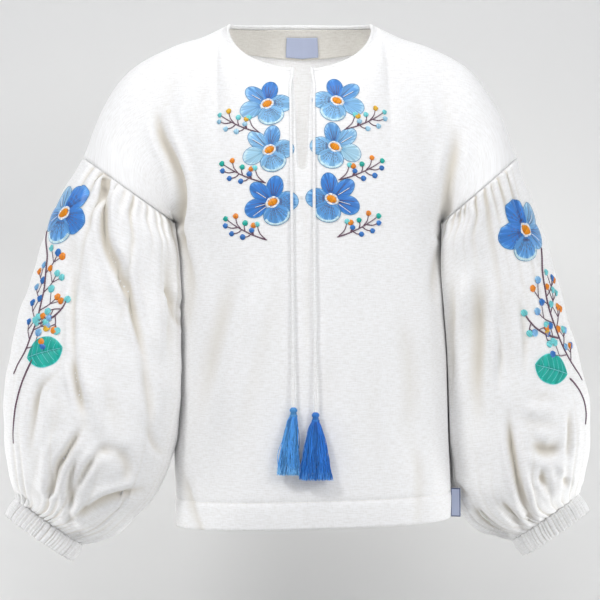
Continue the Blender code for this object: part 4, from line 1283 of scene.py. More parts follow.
class Needlework:
    """Collects stitches and makes them one piece with a finish for each colour of thread."""

    def __init__(self, ground: Ground, seed: int) -> None:
        """Starts on a piece of cloth."""
        self.ground = ground
        self.rng = np.random.default_rng(seed)
        self.points: list[Array] = []
        self.faces: list[Array] = []
        self.slots: list[Array] = []
        self.stitch: list[Array] = []
        self.count = 0

    def add(self, points: Array, quads: Array, strand: Strand, along: Array, own: Array) -> None:
        """Adds one patch of stitches.

        Args:
            points: Its points on the cloth.
            quads: Its faces.
            strand: The colour of its thread.
            along: The share of the way along the thread, for each point.
            own: The thread's own shade, for each point.
        """
        self.points.append(points)
        self.faces.append(quads + self.count)
        self.slots.append(np.full(len(quads), list(Strand).index(strand)))
        zero = np.zeros(len(points))
        self.stitch.append(np.stack([along, own, zero, zero + 1.0], -1))
        self.count += len(points)

    def fan(
        self, roots: Array, tips: Array, strand: Strand, rows: int, lift: float, middle: float = 0.5
    ) -> None:
        """Lays satin stitches side by side, each from its root to its tip.

        Args:
            roots: Start of each thread on the plane of the motif.
            tips: End of each thread.
            strand: Their colour.
            rows: Points along a thread.
            lift: How high they stand over the cloth at their middle, in metres.
            middle: Where along the thread it stands highest.
        """
        threads = len(roots)
        own = self.rng.random(threads)
        reach = 1.0 + 0.012 * (self.rng.random(threads) - 0.5)
        tips = roots + (tips - roots) * reach[:, None]
        columns = 2 * threads + 1
        at = (np.arange(columns) - 1) / 2.0
        low, high = np.clip(
            np.floor(at).astype(int), 0, threads - 1
        ), np.clip(np.ceil(at).astype(int), 0, threads - 1)
        root, tip = 0.5 * (roots[low] + roots[high]), 0.5 * (tips[low] + tips[high])
        crest = (np.arange(columns) % 2 == 1).astype(float)
        share = np.linspace(0.0, 1.0, rows)
        flat = root[None] + (tip - root)[None] * share[:, None, None]
        swell = np.where(share < middle, share / middle, (1 - share) / (1 - middle)) ** 0.45
        height = (0.30 * MM + lift * swell)[:, None] + (crest[None] - 0.5) * 0.26 * MM * (
            0.4 + 0.6 * swell[:, None]
        )
        laid = self.ground.settle(flat.reshape(-1, 3), height.ravel())
        quads = grid_quads(rows, columns)
        # Painted shade: the grooves between threads get a value 0.35 lower than the threads beside them
        shade = np.where(crest > 0, own[low], 0.5 * (own[low] + own[high]) - 0.35)
        self.add(laid, self.facing(laid, quads), strand, np.repeat(share, columns), np.tile(shade, rows))

    def facing(self, points: Array, quads: Array) -> Array:
        """Returns the faces turned to point away from the cloth."""
        near = points[quads[: len(quads) // 2 + 1]]
        facing = np.cross(near[:, 2] - near[:, 0], near[:, 3] - near[:, 1]).sum(axis=0)
        _, normal, _, _ = self.ground.tree.find_nearest(Vector(near.reshape(-1, 3).mean(axis=0)))
        return quads if facing @ np.array(normal) > 0 else quads[:, ::-1]

    def cord(
        self, marks: Array, half: float, strand: Strand, taper: float = 0.6, lift: float = 0.35 * MM
    ) -> None:
        """Lays a stem of short slanting stitches along a line.

        Args:
            marks: Points that it passes near, on the cloth.
            half: Its half width at the start, in metres.
            strand: Its colour.
            taper: Its half width at the end, as a share.
            lift: How high its middle stands over the cloth.
        """
        steps = np.concatenate([[0.0], np.cumsum(np.linalg.norm(np.diff(marks, axis=0), axis=1))])
        count = max(5, int(steps[-1] / (1.1 * MM)))
        at = np.linspace(0.0, steps[-1], count)
        table = tuple(np.column_stack([steps, marks]))
        if len(marks) > 2:
            way = through(table, at)
        else:
            way = marks[0] + (marks[-1] - marks[0]) * (at / steps[-1])[:, None]
        way = self.ground.settle(way, np.full(count, lift))
        normal = np.array([self.ground.tree.find_nearest(Vector(p))[1] for p in way])
        share = np.linspace(0.0, 1.0, count)
        wide = half * (1.0 + (taper - 1.0) * share) * (1.0 + 0.14 * np.cos(np.pi * np.arange(count)))
        wide[[0, -1]] *= 0.6
        points, quads = tube(way, wide, 0.75 * wide, 6, normal)
        own = np.repeat(0.5 + 0.4 * (self.rng.random(count) - 0.5), 6)
        self.add(points, quads, strand, np.full(len(points), 0.5), own)

    def disc(
        self,
        centre: Array,
        across: Array,
        up: Array,
        half: tuple[float, float],
        strand: Strand,
        lift: float,
    ) -> None:
        """Lays a round of parallel satin stitches.

        Args:
            centre: Its middle.
            across: The direction across it.
            up: The direction of its threads.
            half: Its half width and half height, in metres.
            strand: Its colour.
            lift: How high its middle stands.
        """
        threads = max(5, round(2.0 * half[0] / (0.55 * MM)))
        place = np.linspace(-0.94, 0.94, threads)
        tall = half[1] * np.sqrt(1.0 - place**2)
        mid = centre + across * (place * half[0])[:, None]
        self.fan(mid - up * tall[:, None], mid + up * tall[:, None], strand, 7, lift)

    def ring(
        self, centre: Array, across: Array, up: Array, inner: tuple, band: float, strand: Strand
    ) -> None:
        """Lays a ring of radiating stitches round a centre."""
        turn = np.linspace(0.0, 2.0 * np.pi, 45)
        way = across * np.cos(turn)[:, None], up * np.sin(turn)[:, None]
        roots = centre + way[0] * inner[0] + way[1] * inner[1]
        tips = centre + way[0] * (inner[0] + band) + way[1] * (inner[1] + band)
        self.fan(roots, tips, strand, 4, 0.75 * MM)

    def finish(self, name: str, wardrobe: Wardrobe) -> bpy.types.Object:
        """Makes the piece.

        Args:
            name: Its name.
            wardrobe: The finishes.

        Returns:
            The piece.
        """
        materials = [wardrobe.floss[strand] for strand in Strand]
        made = piece(
            name,
            np.concatenate(self.points),
            np.concatenate(self.faces),
            materials,
            stitch=np.concatenate(self.stitch),
            slots=np.concatenate(self.slots),
        )
        return made


@dataclass(frozen=True)
class Petal:
    """One petal: its direction, reach and half width as shares of the flower's size, and its stitches."""

    turn: float
    reach: float
    wide: float
    long: float
    strand: Strand
    dark: int = 0
    pale: int = 0
    rim: bool = False


@dataclass(frozen=True)
class Flower:
    """A flower of five satin-stitched petals round a raised heart: its place and size in millimetres."""

    x: float
    z: float
    size: float
    petals: tuple
    hand: int = 1
    tilt: float = 28.0
    turn: float = 0.0

    def sew(self, work: Needlework) -> None:
        """Sews the petals from the back to the front, then the heart."""
        place, across, up = work.ground.frame(self.x, self.z, self.turn)
        across = across * self.hand
        size = self.size * MM
        for number, petal in enumerate(self.petals):
            angle = math.radians(petal.turn)
            away = across * math.cos(angle) + up * math.sin(angle)
            aside = -across * math.sin(angle) + up * math.cos(angle)
            half, wide = petal.long * size, petal.wide * size
            middle = petal.reach * size - half
            spread = np.linspace(-1.0, 1.0, 37)
            psi = np.radians(168.0) * spread
            lobe = 1.0 + 0.02 * np.cos(2.0 * psi + angle)
            tips = away * (
                middle + half * np.cos(psi) * lobe
            )[:, None] + aside * (wide * np.sin(psi) * lobe)[:, None]
            roots = away * (middle - 0.90 * half) + aside * (0.10 * wide * spread)[:, None]
            lift = (0.42 + 0.07 * number) * MM
            work.fan(place + roots, place + tips, petal.strand, 10, lift, 0.5)
            if petal.rim:
                outer = tips[9:28]
                inner = away * middle + (outer - away * middle) * np.array([0.70, 0.78, 0.70])[:, None][1]
                work.fan(place + inner, place + outer * 1.02, Strand.RIM, 4, lift + 0.22 * MM)
            # The darker slate cord round each petal's edge is an outline and also painted shade between the
            # petals
            edge = work.ground.settle(
                place + tips * 1.005, np.full(len(tips), 0.34 * MM + 0.06 * number * MM)
            )
            work.cord(edge, 0.24 * MM, Strand.EDGE, 1.0, 0.34 * MM + 0.06 * number * MM)
            self.lines(work, place, away, aside, petal, lift + 0.34 * MM)
        lean = math.radians(self.tilt)
        long = across * math.cos(lean) + up * math.sin(lean)
        short = -across * math.sin(lean) + up * math.cos(lean)
        work.ring(place, long, short, (0.185 * size, 0.13 * size), 0.10 * size, Strand.WHITE)
        work.disc(place, long, short, (0.205 * size, 0.15 * size), Strand.HEART, 1.2 * MM)

    def lines(
        self, work: Needlework, place: Array, away: Array, aside: Array, petal: Petal, lift: float
    ) -> None:
        """Sews the dark stitches that spread out of the heart, broken into dashes, and the pale ones.

        Args:
            work: The needlework.
            place: The heart.
            away: The petal's direction.
            aside: The direction across it.
            petal: The petal.
            lift: How high they lie over the cloth.
        """
        size = self.size * MM
        for strand, count, half in (
            (Strand.PLUM, petal.dark, 0.21 * MM), (Strand.WHITE, petal.pale, 0.30 * MM)
        ):
            for k in range(count):
                lean = (k - 0.5 * (count - 1)) * 1.75 * petal.wide / max(count, 2) / petal.reach
                lean += 0.09 if strand is Strand.WHITE else 0.0
                far = size * petal.reach * (0.62 + 0.2 * work.rng.random()) * (
                    1.0 - 0.03 * abs(k - 0.5 * count)
                )
                near = 0.28 * size
                cuts = 3 if strand is Strand.PLUM and count > 4 else 1
                for i in range(cuts):
                    low = near + (far - near) * (i / cuts + 0.02)
                    high = near + (far - near) * ((i + 0.74) / cuts if cuts > 1 else 1.0)
                    ends = [
                        place + away * r + aside * (r * lean * 1.3) for r in (low, 0.5 * (low + high), high)
                    ]
                    work.cord(np.array(ends), half, strand, 0.8, lift)


@dataclass(frozen=True)
class Sprig:
    """A curved stem with short twigs, each with a berry: all in millimetres as seen."""

    base: tuple
    tip: tuple
    bow: float
    twigs: tuple
    berry: float = 2.55
    stem: float = 0.66

    def sew(self, work: Needlework, hand: float) -> None:
        """Sews the stem, the twigs and the berries.

        Args:
            work: The needlework.
            hand: -1 where the twigs' sides are turned round.
        """
        base, tip = np.array(self.base, float), np.array(self.tip, float)
        way = tip - base
        aside = np.array([-way[1], way[0]])
        marks = [
            base + way * t + aside * self.bow * hand * 4.0 * t * (1 - t) for t in np.linspace(0.0, 1.0, 7)
        ]
        line = np.array([work.ground.land(*mark)[0] for mark in marks])
        work.cord(line, self.stem * MM, Strand.PLUM, 0.6)
        for at, angle, length, strand in self.twigs:
            root = base + way * at + aside * self.bow * hand * 4.0 * at * (1 - at)
            slope = way + aside * self.bow * hand * 4.0 * (1 - 2 * at)
            turn = math.atan2(slope[1], slope[0]) + math.radians(angle) * hand
            end = root + length * np.array([math.cos(turn), math.sin(turn)])
            bend = 0.5 * (root + end) + 0.12 * length * np.array(
                [math.cos(turn + 1.57 * hand), math.sin(turn + 1.57 * hand)]
            )
            if length > 0.5:
                places = np.array([work.ground.land(*mark)[0] for mark in (root, bend, end)])
                work.cord(places, 0.8 * self.stem * MM, Strand.PLUM, 0.75)
            berry(work, end, self.berry, strand)


def berry(work: Needlework, at: Array, half: float, strand: Strand) -> None:
    """Sews one berry at a place in millimetres as seen."""
    place, across, up = work.ground.frame(float(at[0]), float(at[1]), 25.0 * (work.rng.random() - 0.5))
    size = half * MM * (0.94 + 0.12 * work.rng.random())
    work.disc(place, across, up, (size, size), strand, 1.0 * MM)


# A sprig's twigs: where each leaves the stem, its slant in degrees, its length and its berry
CHEST_TWIGS = (
    (0.02, -43.0, 17.0, 0),
    (0.30, -66.0, 9.5, 1),
    (0.32, -52.0, 4.6, 2),
    (0.50, -62.0, 8.0, 3),
    (0.60, -38.0, 13.5, 1),
    (1.00, 0.0, 0.0, 3),
    (0.68, 24.0, 12.0, 4),
    (0.58, 50.0, 10.5, 4),
    (0.36, 42.0, 8.5, 4),
)
PALE_BERRIES = (Strand.AQUA, Strand.YELLOW, Strand.PALE, Strand.AQUA, Strand.PALE)
DEEP_BERRIES = (Strand.AQUA, Strand.ORANGE, Strand.DEEP, Strand.TEAL, Strand.DEEP)


@dataclass
class Chest:
    """The needlework on both sides of the slit: three flowers and three sprigs a side."""

    flowers: tuple = ((-31.2, -75.4, 23.0), (-29.0, -119.0, 22.8), (-26.0, -168.8, 23.8))
    sprigs: tuple = (
        ((-38.0, -102.6), (-76.0, -86.0), PALE_BERRIES),
        ((-32.5, -150.4), (-74.0, -132.2), DEEP_BERRIES),
        ((-31.2, -204.7), (-70.6, -184.6), DEEP_BERRIES),
    )
    middle: float = 2.0

    def petals(self, row: int) -> tuple[Petal, ...]:
        """Returns the five petals of a flower, in the order they are sewn.

        Args:
            row: 0 for the top flower.

        Returns:
            The petals.
        """
        up = (Strand.STRONG_BLUE, Strand.BLUE, Strand.STRONG_BLUE)[row]
        left = (Strand.BLUE, Strand.LIGHT_BLUE, Strand.STRONG_BLUE)[row]
        low = (Strand.LIGHT_BLUE, Strand.PALE, Strand.STRONG_BLUE)[row]
        right = (Strand.LIGHT_BLUE, Strand.LIGHT_BLUE, Strand.BLUE)[row]
        return (
            Petal(199.0, 1.14, 0.35, 0.44, low, dark=3 if row == 2 else 0, pale=2 if row == 2 else 0),
            Petal(4.0, 0.98, 0.38, 0.42, right, dark=7),
            Petal(141.0, 1.10, 0.31, 0.49, left, dark=2, pale=1),
            Petal(82.0, 1.02, 0.32, 0.44, up, dark=4),
            Petal(289.0, 0.90, 0.52, 0.40, right, dark=8, rim=True),
        )

    def sew(self, side: Side, ground: Ground, wardrobe: Wardrobe) -> bpy.types.Object:
        """Sews one side of the chest; the right is the left turned over.

        Args:
            side: Which side.
            ground: The front.
            wardrobe: The finishes.

        Returns:
            The piece.
        """
        work = Needlework(ground, 11 + side.value)
        hand = -side.value
        for (bx, bz), (tx, tz), colours in self.sprigs:
            twigs = tuple((at, slant, length, colours[which]) for at, slant, length, which in CHEST_TWIGS)
            lift = 2.8 if side is Side.RIGHT else 0.0
            Sprig(
                (self.over(bx, hand), bz + lift), (self.over(tx, hand), tz + lift), 0.05, twigs
            ).sew(work, hand)
        for row, (x, z, size) in enumerate(self.flowers):
            lift = 3.0 if side is Side.RIGHT else 0.0
            Flower(self.over(x, hand), z + lift, size, self.petals(row), hand).sew(work)
        return work.finish(f"embroidery_chest_{side.name.lower()}", wardrobe)

    def over(self, x: float, hand: int) -> float:
        """Returns a place turned over to the other side of the slit."""
        return x if hand > 0 else 2.0 * self.middle - x


@dataclass(frozen=True)
class Bough:
    """A long branch on a sleeve, one plain arc with twigs and berries: places in millimetres as seen."""

    start: tuple
    end: tuple
    bow: float
    twigs: int
    seed: int
    first: float = 0.32
    last: float = 0.86
    reach: float = 20.0
    tip: Strand | None = None
    colours: tuple = (
        Strand.DEEP, Strand.ORANGE, Strand.AQUA, Strand.LIGHT_BLUE, Strand.ORANGE, Strand.DEEP, Strand.AQUA
    )

    def line(self) -> Array:
        """Returns marks along the arc between both ends, bowed to one side by its own height."""
        start, chord = np.array(self.start), np.subtract(self.end, self.start)
        aside = unit(np.array([chord[1], -chord[0]]))
        t = np.linspace(0.0, 1.0, 7)[:, None]
        return start + t * chord + aside * 4.0 * self.bow * t * (1.0 - t)

    def sew(self, work: Needlework) -> None:
        """Sews the branch, its forked twigs and their berries."""
        rng = np.random.default_rng(self.seed)
        marks = np.array([work.ground.land(*mark)[0] for mark in self.line()])
        work.cord(marks, 1.0 * MM, Strand.PLUM, 0.75)
        steps = np.concatenate([[0.0], np.cumsum(np.linalg.norm(np.diff(marks, axis=0), axis=1))])
        table = tuple(np.column_stack([steps, marks]))
        if self.tip:
            self.berry(work, marks[-1], unit(marks[-1] - marks[-2]), self.tip)
        for number in range(self.twigs):
            share = self.first + (self.last - self.first) * (number + 0.3 * rng.random()) / self.twigs
            at, ahead = through(table, np.array([share, min(share + 0.02, 1.0)]) * steps[-1])
            normal = np.array(work.ground.tree.find_nearest(Vector(at))[1])
            along = unit(at - ahead)
            aside = unit(np.cross(normal, along)) * (1 if number % 2 else -1)
            slant = math.radians(36.0 + 16.0 * rng.random())
            way = along * math.cos(slant) + aside * math.sin(slant)
            length = self.reach * (0.75 + 0.5 * rng.random()) * MM
            end = at + way * length
            bend = 0.5 * (at + end) + aside * 0.10 * length
            work.cord(np.array([at, bend, end]), 0.55 * MM, Strand.PLUM, 0.75)
            self.berry(work, end, along, self.colours[number % len(self.colours)])
            for turn, part in ((-0.25, 0.66), (1.15, 0.50))[: 1 + (number + self.seed) % 2]:
                fork = bend + (along * math.cos(turn) + aside * math.sin(turn)) * part * length
                work.cord(np.array([bend, 0.5 * (bend + fork), fork]), 0.45 * MM, Strand.PLUM, 0.75)
                colour = (number + (2 if turn < 1.0 else 4)) % len(self.colours)
                self.berry(work, fork, along, self.colours[colour])

    def berry(self, work: Needlework, at: Array, along: Array, strand: Strand) -> None:
        """Sews a berry at a point of the cloth."""
        place, normal, _, _ = work.ground.tree.find_nearest(Vector(at))
        place, normal = np.array(place), np.array(normal)
        up = unit(along - normal * (along @ normal))
        size = 3.15 * MM * (0.92 + 0.2 * work.rng.random())
        work.disc(place, np.cross(up, normal), up, (size, 1.1 * size), strand, 1.0 * MM)


@dataclass(frozen=True)
class Leaf:
    """A pointed satin-stitched leaf with a midrib, in millimetres as seen."""

    x: float
    z: float
    turn: float
    half: float
    wide: float

    def sew(self, work: Needlework) -> None:
        """Sews both halves, the veins and the edge."""
        place, across, up = work.ground.frame(self.x, self.z, self.turn)
        t = np.linspace(-1.0, 1.0, 34)
        bow = self.wide * MM * (1.0 - np.abs(t) ** 2.5) ** 0.9 * (1.0 - 0.14 * t)
        spine = place + across * (t * self.half * MM)[:, None]
        for hand in (1, -1):
            tips = spine + across * (
                0.16 * self.half * MM * (1.0 - t**2)
            )[:, None] + up * (hand * bow)[:, None]
            work.fan(spine, tips, Strand.TEAL, 7, 0.55 * MM, 0.5)
            work.cord(
                work.ground.settle(tips, np.full(len(tips), 0.3 * MM)),
                0.30 * MM,
                Strand.AQUA,
                1.0,
                0.4 * MM,
            )
            for k in range(5):
                i = 5 + 5 * k
                vein = [spine[i], 0.5 * (spine[i] + tips[i + 3]), tips[i + 3] * 0.82 + spine[i + 3] * 0.18]
                work.cord(np.array(vein), 0.22 * MM, Strand.AQUA, 0.7, 0.85 * MM)
        work.cord(spine[::3], 0.32 * MM, Strand.AQUA, 0.8, 0.85 * MM)


@dataclass(frozen=True)
class SleeveSpray:
    """The needlework down the outer front of a sleeve."""

    side: Side
    flower: tuple
    branches: tuple
    leaf: Leaf
    seed: int

    def sew(self, ground: Ground, wardrobe: Wardrobe) -> bpy.types.Object:
        """Sews the spray.

        Args:
            ground: The sleeve.
            wardrobe: The finishes.

        Returns:
            The piece.
        """
        work = Needlework(ground, self.seed)
        for branch in self.branches:
            branch.sew(work)
        self.leaf.sew(work)
        x, z, size, turn = self.flower
        petals = (
            Petal(196.0, 1.06, 0.42, 0.46, Strand.BLUE, dark=4, pale=1),
            Petal(340.0, 1.06, 0.44, 0.46, Strand.STRONG_BLUE, dark=6),
            Petal(128.0, 1.10, 0.40, 0.48, Strand.LIGHT_BLUE, dark=3, pale=1),
            Petal(56.0, 1.10, 0.42, 0.48, Strand.STRONG_BLUE, dark=6),
            Petal(268.0, 1.00, 0.50, 0.42, Strand.BLUE, dark=8, rim=True),
        )
        Flower(x, z, size, petals, -self.side.value, turn=turn).sew(work)
        return work.finish(f"embroidery_sleeve_{self.side.name.lower()}", wardrobe)


BERRIES = (Strand.AQUA, Strand.ORANGE, Strand.AQUA, Strand.YELLOW, Strand.LIGHT_BLUE)

SPRAYS = (
    SleeveSpray(
        Side.LEFT,
        (-224.5, -179.0, 30.0, 0.0),
        (
            Bough((-240.0, -196.0), (-272.0, -332.0), -10.0, 9, 3),
            Bough((-254.0, -318.0), (-272.0, -398.0), 6.0, 0, 5),
            Bough((-252.0, -285.0), (-221.0, -261.0), 5.0, 3, 6, 0.34, 0.9, 13.0, Strand.AQUA, BERRIES),
        ),
        Leaf(-243.7, -311.4, 16.0, 18.6, 14.0),
        41,
    ),
    SleeveSpray(
        Side.RIGHT,
        (213.5, -195.0, 29.0, 0.0),
        (
            Bough((229.0, -212.0), (268.0, -338.0), 10.0, 9, 13),
            Bough((256.0, -336.0), (271.0, -380.0), -6.0, 0, 15),
            Bough((246.0, -298.0), (213.0, -274.0), -5.0, 3, 16, 0.34, 0.9, 13.0, Strand.AQUA, BERRIES),
        ),
        Leaf(240.0, -327.4, 166.0, 18.6, 14.0),
        43,
    ),
)


@dataclass
class Studio:
    """The camera, the paper sweep and the soft lights."""

    paper: str = "#D7D7D6"
    floor_z: float = -0.72
    wall_y: float = 0.30
    sweep: float = 0.12

    def build(self) -> None:
        """Makes the camera, the sweep and the lights."""
        data = bpy.data.cameras.new("camera")
        data.lens, data.sensor_width = LENS, SENSOR
        camera = bpy.data.objects.new("camera", data)
        camera.location = Vector(EYE)
        camera.rotation_euler = (math.radians(90.0), 0.0, 0.0)
        bpy.context.scene.collection.objects.link(camera)
        bpy.context.scene.camera = camera
        profile = [(-3.0, self.floor_z), (self.wall_y - self.sweep, self.floor_z)]
        for turn in np.radians(np.linspace(0.0, 90.0, 13))[1:]:
            profile.append(
                (
                    self.wall_y - self.sweep + self.sweep * math.sin(turn),
                    self.floor_z + self.sweep - self.sweep * math.cos(turn),
                )
            )
        profile.append((self.wall_y, 3.0))
        xs = (-3.5, 3.5)
        points = [(x, y, z) for y, z in profile for x in xs]
        mesh = bpy.data.meshes.new("paper_sweep")
        mesh.from_pydata(
            points, [], [(2 * i, 2 * i + 1, 2 * i + 3, 2 * i + 2) for i in range(len(profile) - 1)]
        )
        mesh.materials.append(PaperFinish("matt studio paper", self.paper, 0.95).make())
        mesh.shade_smooth()
        sweep = bpy.data.objects.new("paper_sweep", mesh)
        bpy.context.scene.collection.objects.link(sweep)
        self.light("key", (-1.15, -1.4, 1.3), 0.5, 20.5)
        self.light("fill", (1.5, -1.8, 0.7), 1.2, 16.5)
        self.light("bounce", (0.0, -1.9, -1.35), 1.6, 21.0)
        self.light("neck", (0.05, -0.55, 0.75), 0.35, 1.8)
        for hand in (-1, 1):
            name = "side_left" if hand < 0 else "side_right"
            self.light(name, (0.75 * hand, 0.06, -0.72), 0.3, 3.0, (0.0, 0.30, -0.52))
            name = "under_arm_left" if hand < 0 else "under_arm_right"
            self.light(name, (0.20 * hand, 0.22, -0.32), 0.12, 0.35, (0.15 * hand, -0.05, -0.30))
        # This lamp stands in for the light that passes through thin linen to the inside of the back
        self.light("inside", (0.0, 0.0, -0.27), 0.16, 0.14, (0.0, 0.07, -0.10))
        world = bpy.data.worlds.new("studio")
        world.use_nodes = True
        world.node_tree.nodes["Background"].inputs[0].default_value = linear("#F1F3FA")
        world.node_tree.nodes["Background"].inputs[1].default_value = 0.42
        bpy.context.scene.world = world
        bpy.context.scene.view_settings.view_transform = "Standard"

    def light(
        self, name: str, place: tuple, size: float, power: float, aim: tuple = (0.0, 0.0, -0.25)
    ) -> None:
        """Adds a soft light aimed at the middle of the blouse or at another point."""
        data = bpy.data.lights.new(name, "AREA")
        data.shape, data.size, data.energy = "DISK", size, power
        lamp = bpy.data.objects.new(name, data)
        lamp.location = place
        lamp.rotation_euler = (Vector(aim) - Vector(place)).to_track_quat("-Z", "Y").to_euler()
        bpy.context.scene.collection.objects.link(lamp)


@dataclass
class Tie:
    """A tie of the neck: a thin flat-sewn cord that follows the route of its solid, and its tassel."""

    side: Side
    route: tuple
    spread: float
    lean: float
    half_wide: float = 0.00138
    half_thick: float = 0.00105
    head_radius: float = 0.0034
    head_length: float = 0.0085
    skirt: float = 0.0532
    flatness: float = 0.8
    depth: float = 0.0050
    forward: float = 0.0030
    threads: int = 230

    def build(self, wardrobe: Wardrobe) -> None:
        word = self.side.name.lower()
        marks = np.array(self.route) * MM
        steps = np.concatenate([[0.0], np.cumsum(np.linalg.norm(np.diff(marks, axis=0), axis=1))])
        near = np.linspace(0.0, 0.024, 25)
        at = np.concatenate([near, np.linspace(0.024, steps[-1], 150)[1:]])
        path = through(tuple(np.column_stack([steps, marks])), at)
        foot = path[-1].copy()
        path = np.concatenate([path, foot + np.array([[0.0, 0.0, -0.0025], [0.0, 0.0, -0.0050]])])
        points, quads = tube(path, self.half_wide, self.half_thick, 10)
        run = np.concatenate([[0.0], np.cumsum(np.linalg.norm(np.diff(path, axis=0), axis=1))])
        around = 0.0075 * np.arange(11) / 10
        i, j = np.meshgrid(np.arange(len(path) - 1), np.arange(10), indexing="ij")
        corners = np.stack(
            [
                np.stack([around[j], run[i]], -1),
                np.stack([around[j], run[i + 1]], -1),
                np.stack([around[j + 1], run[i + 1]], -1),
                np.stack([around[j + 1], run[i]], -1),
            ],
            2,
        ).reshape(-1, 4, 2)
        cord = piece("neck_tie_" + word, points, quads[:, ::-1], [wardrobe.linen], corners[:, ::-1])
        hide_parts("tie_" + word)
        tassel = self.tassel(foot, wardrobe)

    def tassel(self, top: Array, wardrobe: Wardrobe) -> bpy.types.Object:
        """Makes the bound head and the skirt of threads.

        Args:
            top: The tie's lower end.
            wardrobe: The finishes.

        Returns:
            The tassel.
        """
        rng = np.random.default_rng(31 + self.side.value)
        points, faces, stitch, count = [], [], [], 0
        head = (
            (0.0, 0.34),
            (-0.6, 0.66),
            (-1.6, 0.90),
            (-2.6, 1.0),
            (-3.7, 0.97),
            (-4.6, 0.80),
            (-5.2, 0.86),
            (-5.9, 0.90),
            (-6.5, 0.84),
            (-7.2, 0.98),
            (-8.5, 1.06),
        )
        around = 48
        turn = np.linspace(0.0, 2.0 * np.pi, around, endpoint=False)
        rings, shades = [], []
        for drop, swell in head:
            groove = 1.0 + 0.05 * np.cos(24.0 * turn)
            if -6.6 < drop < -4.5:
                groove = np.full(around, 1.0 + 0.03 * math.cos(9.0 * drop))
            radius = self.head_radius * swell * groove
            rings.append(
                np.stack(
                    [
                        radius * np.cos(turn),
                        self.flatness * radius * np.sin(turn),
                        np.full(around, drop * MM),
                    ],
                    -1,
                )
            )
            # Painted shade: the grooves between the head's ridges are darker than the ridges. The bound
            # band is darker all round.
            shades.append(
                np.full(around, 0.05 if -6.6 < drop < -4.5 else 0.25) + 0.3 * (groove - 1.0) / 0.05 * 0.5
            )
        points.append(np.concatenate(rings))
        faces.append(grid_quads(len(head), around, wrap=True))
        stitch.append(np.stack([np.full(len(head) * around, 0.5), np.concatenate(shades)], -1))
        count += len(head) * around
        rows = np.linspace(0.0, 1.0, 13)
        for number in range(self.threads):
            radius = math.sqrt((number + 0.5) / self.threads)
            angle = 2.399963 * number
            stray = number % 19 == 7
            wander = 1.0 + (0.42 if stray else 0.08) * (rng.random() - 0.3)
            start = np.array([math.cos(angle), self.flatness * math.sin(angle)])
            start = start * radius * self.head_radius * 0.98
            end = np.array(
                [
                    math.cos(angle) * self.spread * wander + self.lean,
                    math.sin(angle) * self.depth - self.forward,
                ]
            )
            end = end * np.array([1.0, 1.0]) if radius > 0.55 else end * np.array([radius + 0.35, 1.0])
            end[0] = (end[0] - self.lean) * radius**0.6 + self.lean if radius > 0.55 else end[0]
            length = self.skirt * (0.955 + 0.045 * rng.random())
            belly = rows ** (0.6 + 0.25 * rng.random())
            way = start[None] + (end - start)[None] * belly[:, None]
            wave = 0.0008 * np.sin(rows * (6.0 + 7.0 * rng.random()) + 6.0 * rng.random()) * rows**0.5
            way = way + wave[:, None] * np.array([1.0, 0.6]) * (2.2 if stray else 1.0)
            path = np.column_stack([way, -self.head_length - length * rows])
            ring, quads = tube(path, 0.00036, 0.00036, 3)
            points.append(ring)
            faces.append(quads + count)
            own = np.full(len(ring), rng.random())
            stitch.append(np.stack([np.repeat(rows, 3), own], -1))
            count += len(ring)
        both = np.concatenate(stitch)
        colours = np.column_stack([both, np.zeros(len(both)), np.ones(len(both))])
        word = self.side.name.lower()
        made = piece(
            "thread_tassel_" + word,
            np.concatenate(points) + top,
            np.concatenate(faces),
            [wardrobe.tassels[self.side]],
            stitch=colours,
        )
        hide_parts("tassel_" + word)
        return made


TIES = (
    Tie(
        Side.LEFT,
        (
            (
                -8.94, -57.29, -47.84
            ), (-7.48, -57.75, -47.65), (-6.99, -59.49, -47.26), (-6.94, -62.46, -49.20),
            (
                -6.96, -64.52, -52.02
            ), (-7.28, -66.27, -55.04), (-8.69, -69.48, -61.73), (-8.97, -72.75, -68.49),
            (-8.65, -75.92, -75.36), (-8.42, -81.43, -89.39), (
                -8.27, -86.02, -103.75
            ), (-8.13, -89.82, -118.34),
            (
                -7.98, -92.92, -133.09
            ), (-7.83, -95.30, -147.98), (-7.68, -96.93, -162.97), (-7.54, -97.69, -178.02),
            (-7.26, -98.54, -208.16), (-6.98, -99.53, -238.29), (
                -6.71, -100.61, -268.42
            ), (-6.44, -101.74, -298.55),
            (-6.17, -102.85, -328.67), (-5.90, -104.02, -358.80),
        ),
        0.0100,
        -0.0048,
    ),
    Tie(
        Side.RIGHT,
        (
            (
                12.91, -57.28, -47.83
            ), (11.45, -57.73, -47.64), (10.96, -59.47, -47.24), (10.91, -62.44, -49.19),
            (
                10.93, -64.50, -52.01
            ), (11.25, -66.25, -55.03), (12.70, -69.52, -61.81), (13.04, -72.84, -68.67),
            (12.80, -76.05, -75.64), (12.72, -81.60, -89.89), (
                12.73, -86.22, -104.47
            ), (12.74, -90.03, -119.29),
            (
                12.76, -93.13, -134.27
            ), (12.79, -95.48, -149.38), (12.84, -97.06, -164.59), (12.90, -97.74, -179.87),
            (13.01, -98.36, -202.81), (13.14, -99.08, -225.74), (13.29, -99.87, -248.67), (
                13.46, -100.68, -271.59
            ),
            (13.68, -101.81, -302.16), (13.90, -102.90, -332.73), (14.10, -104.07, -363.30),
        ),
        0.0150,
        0.0006,
    ),
)


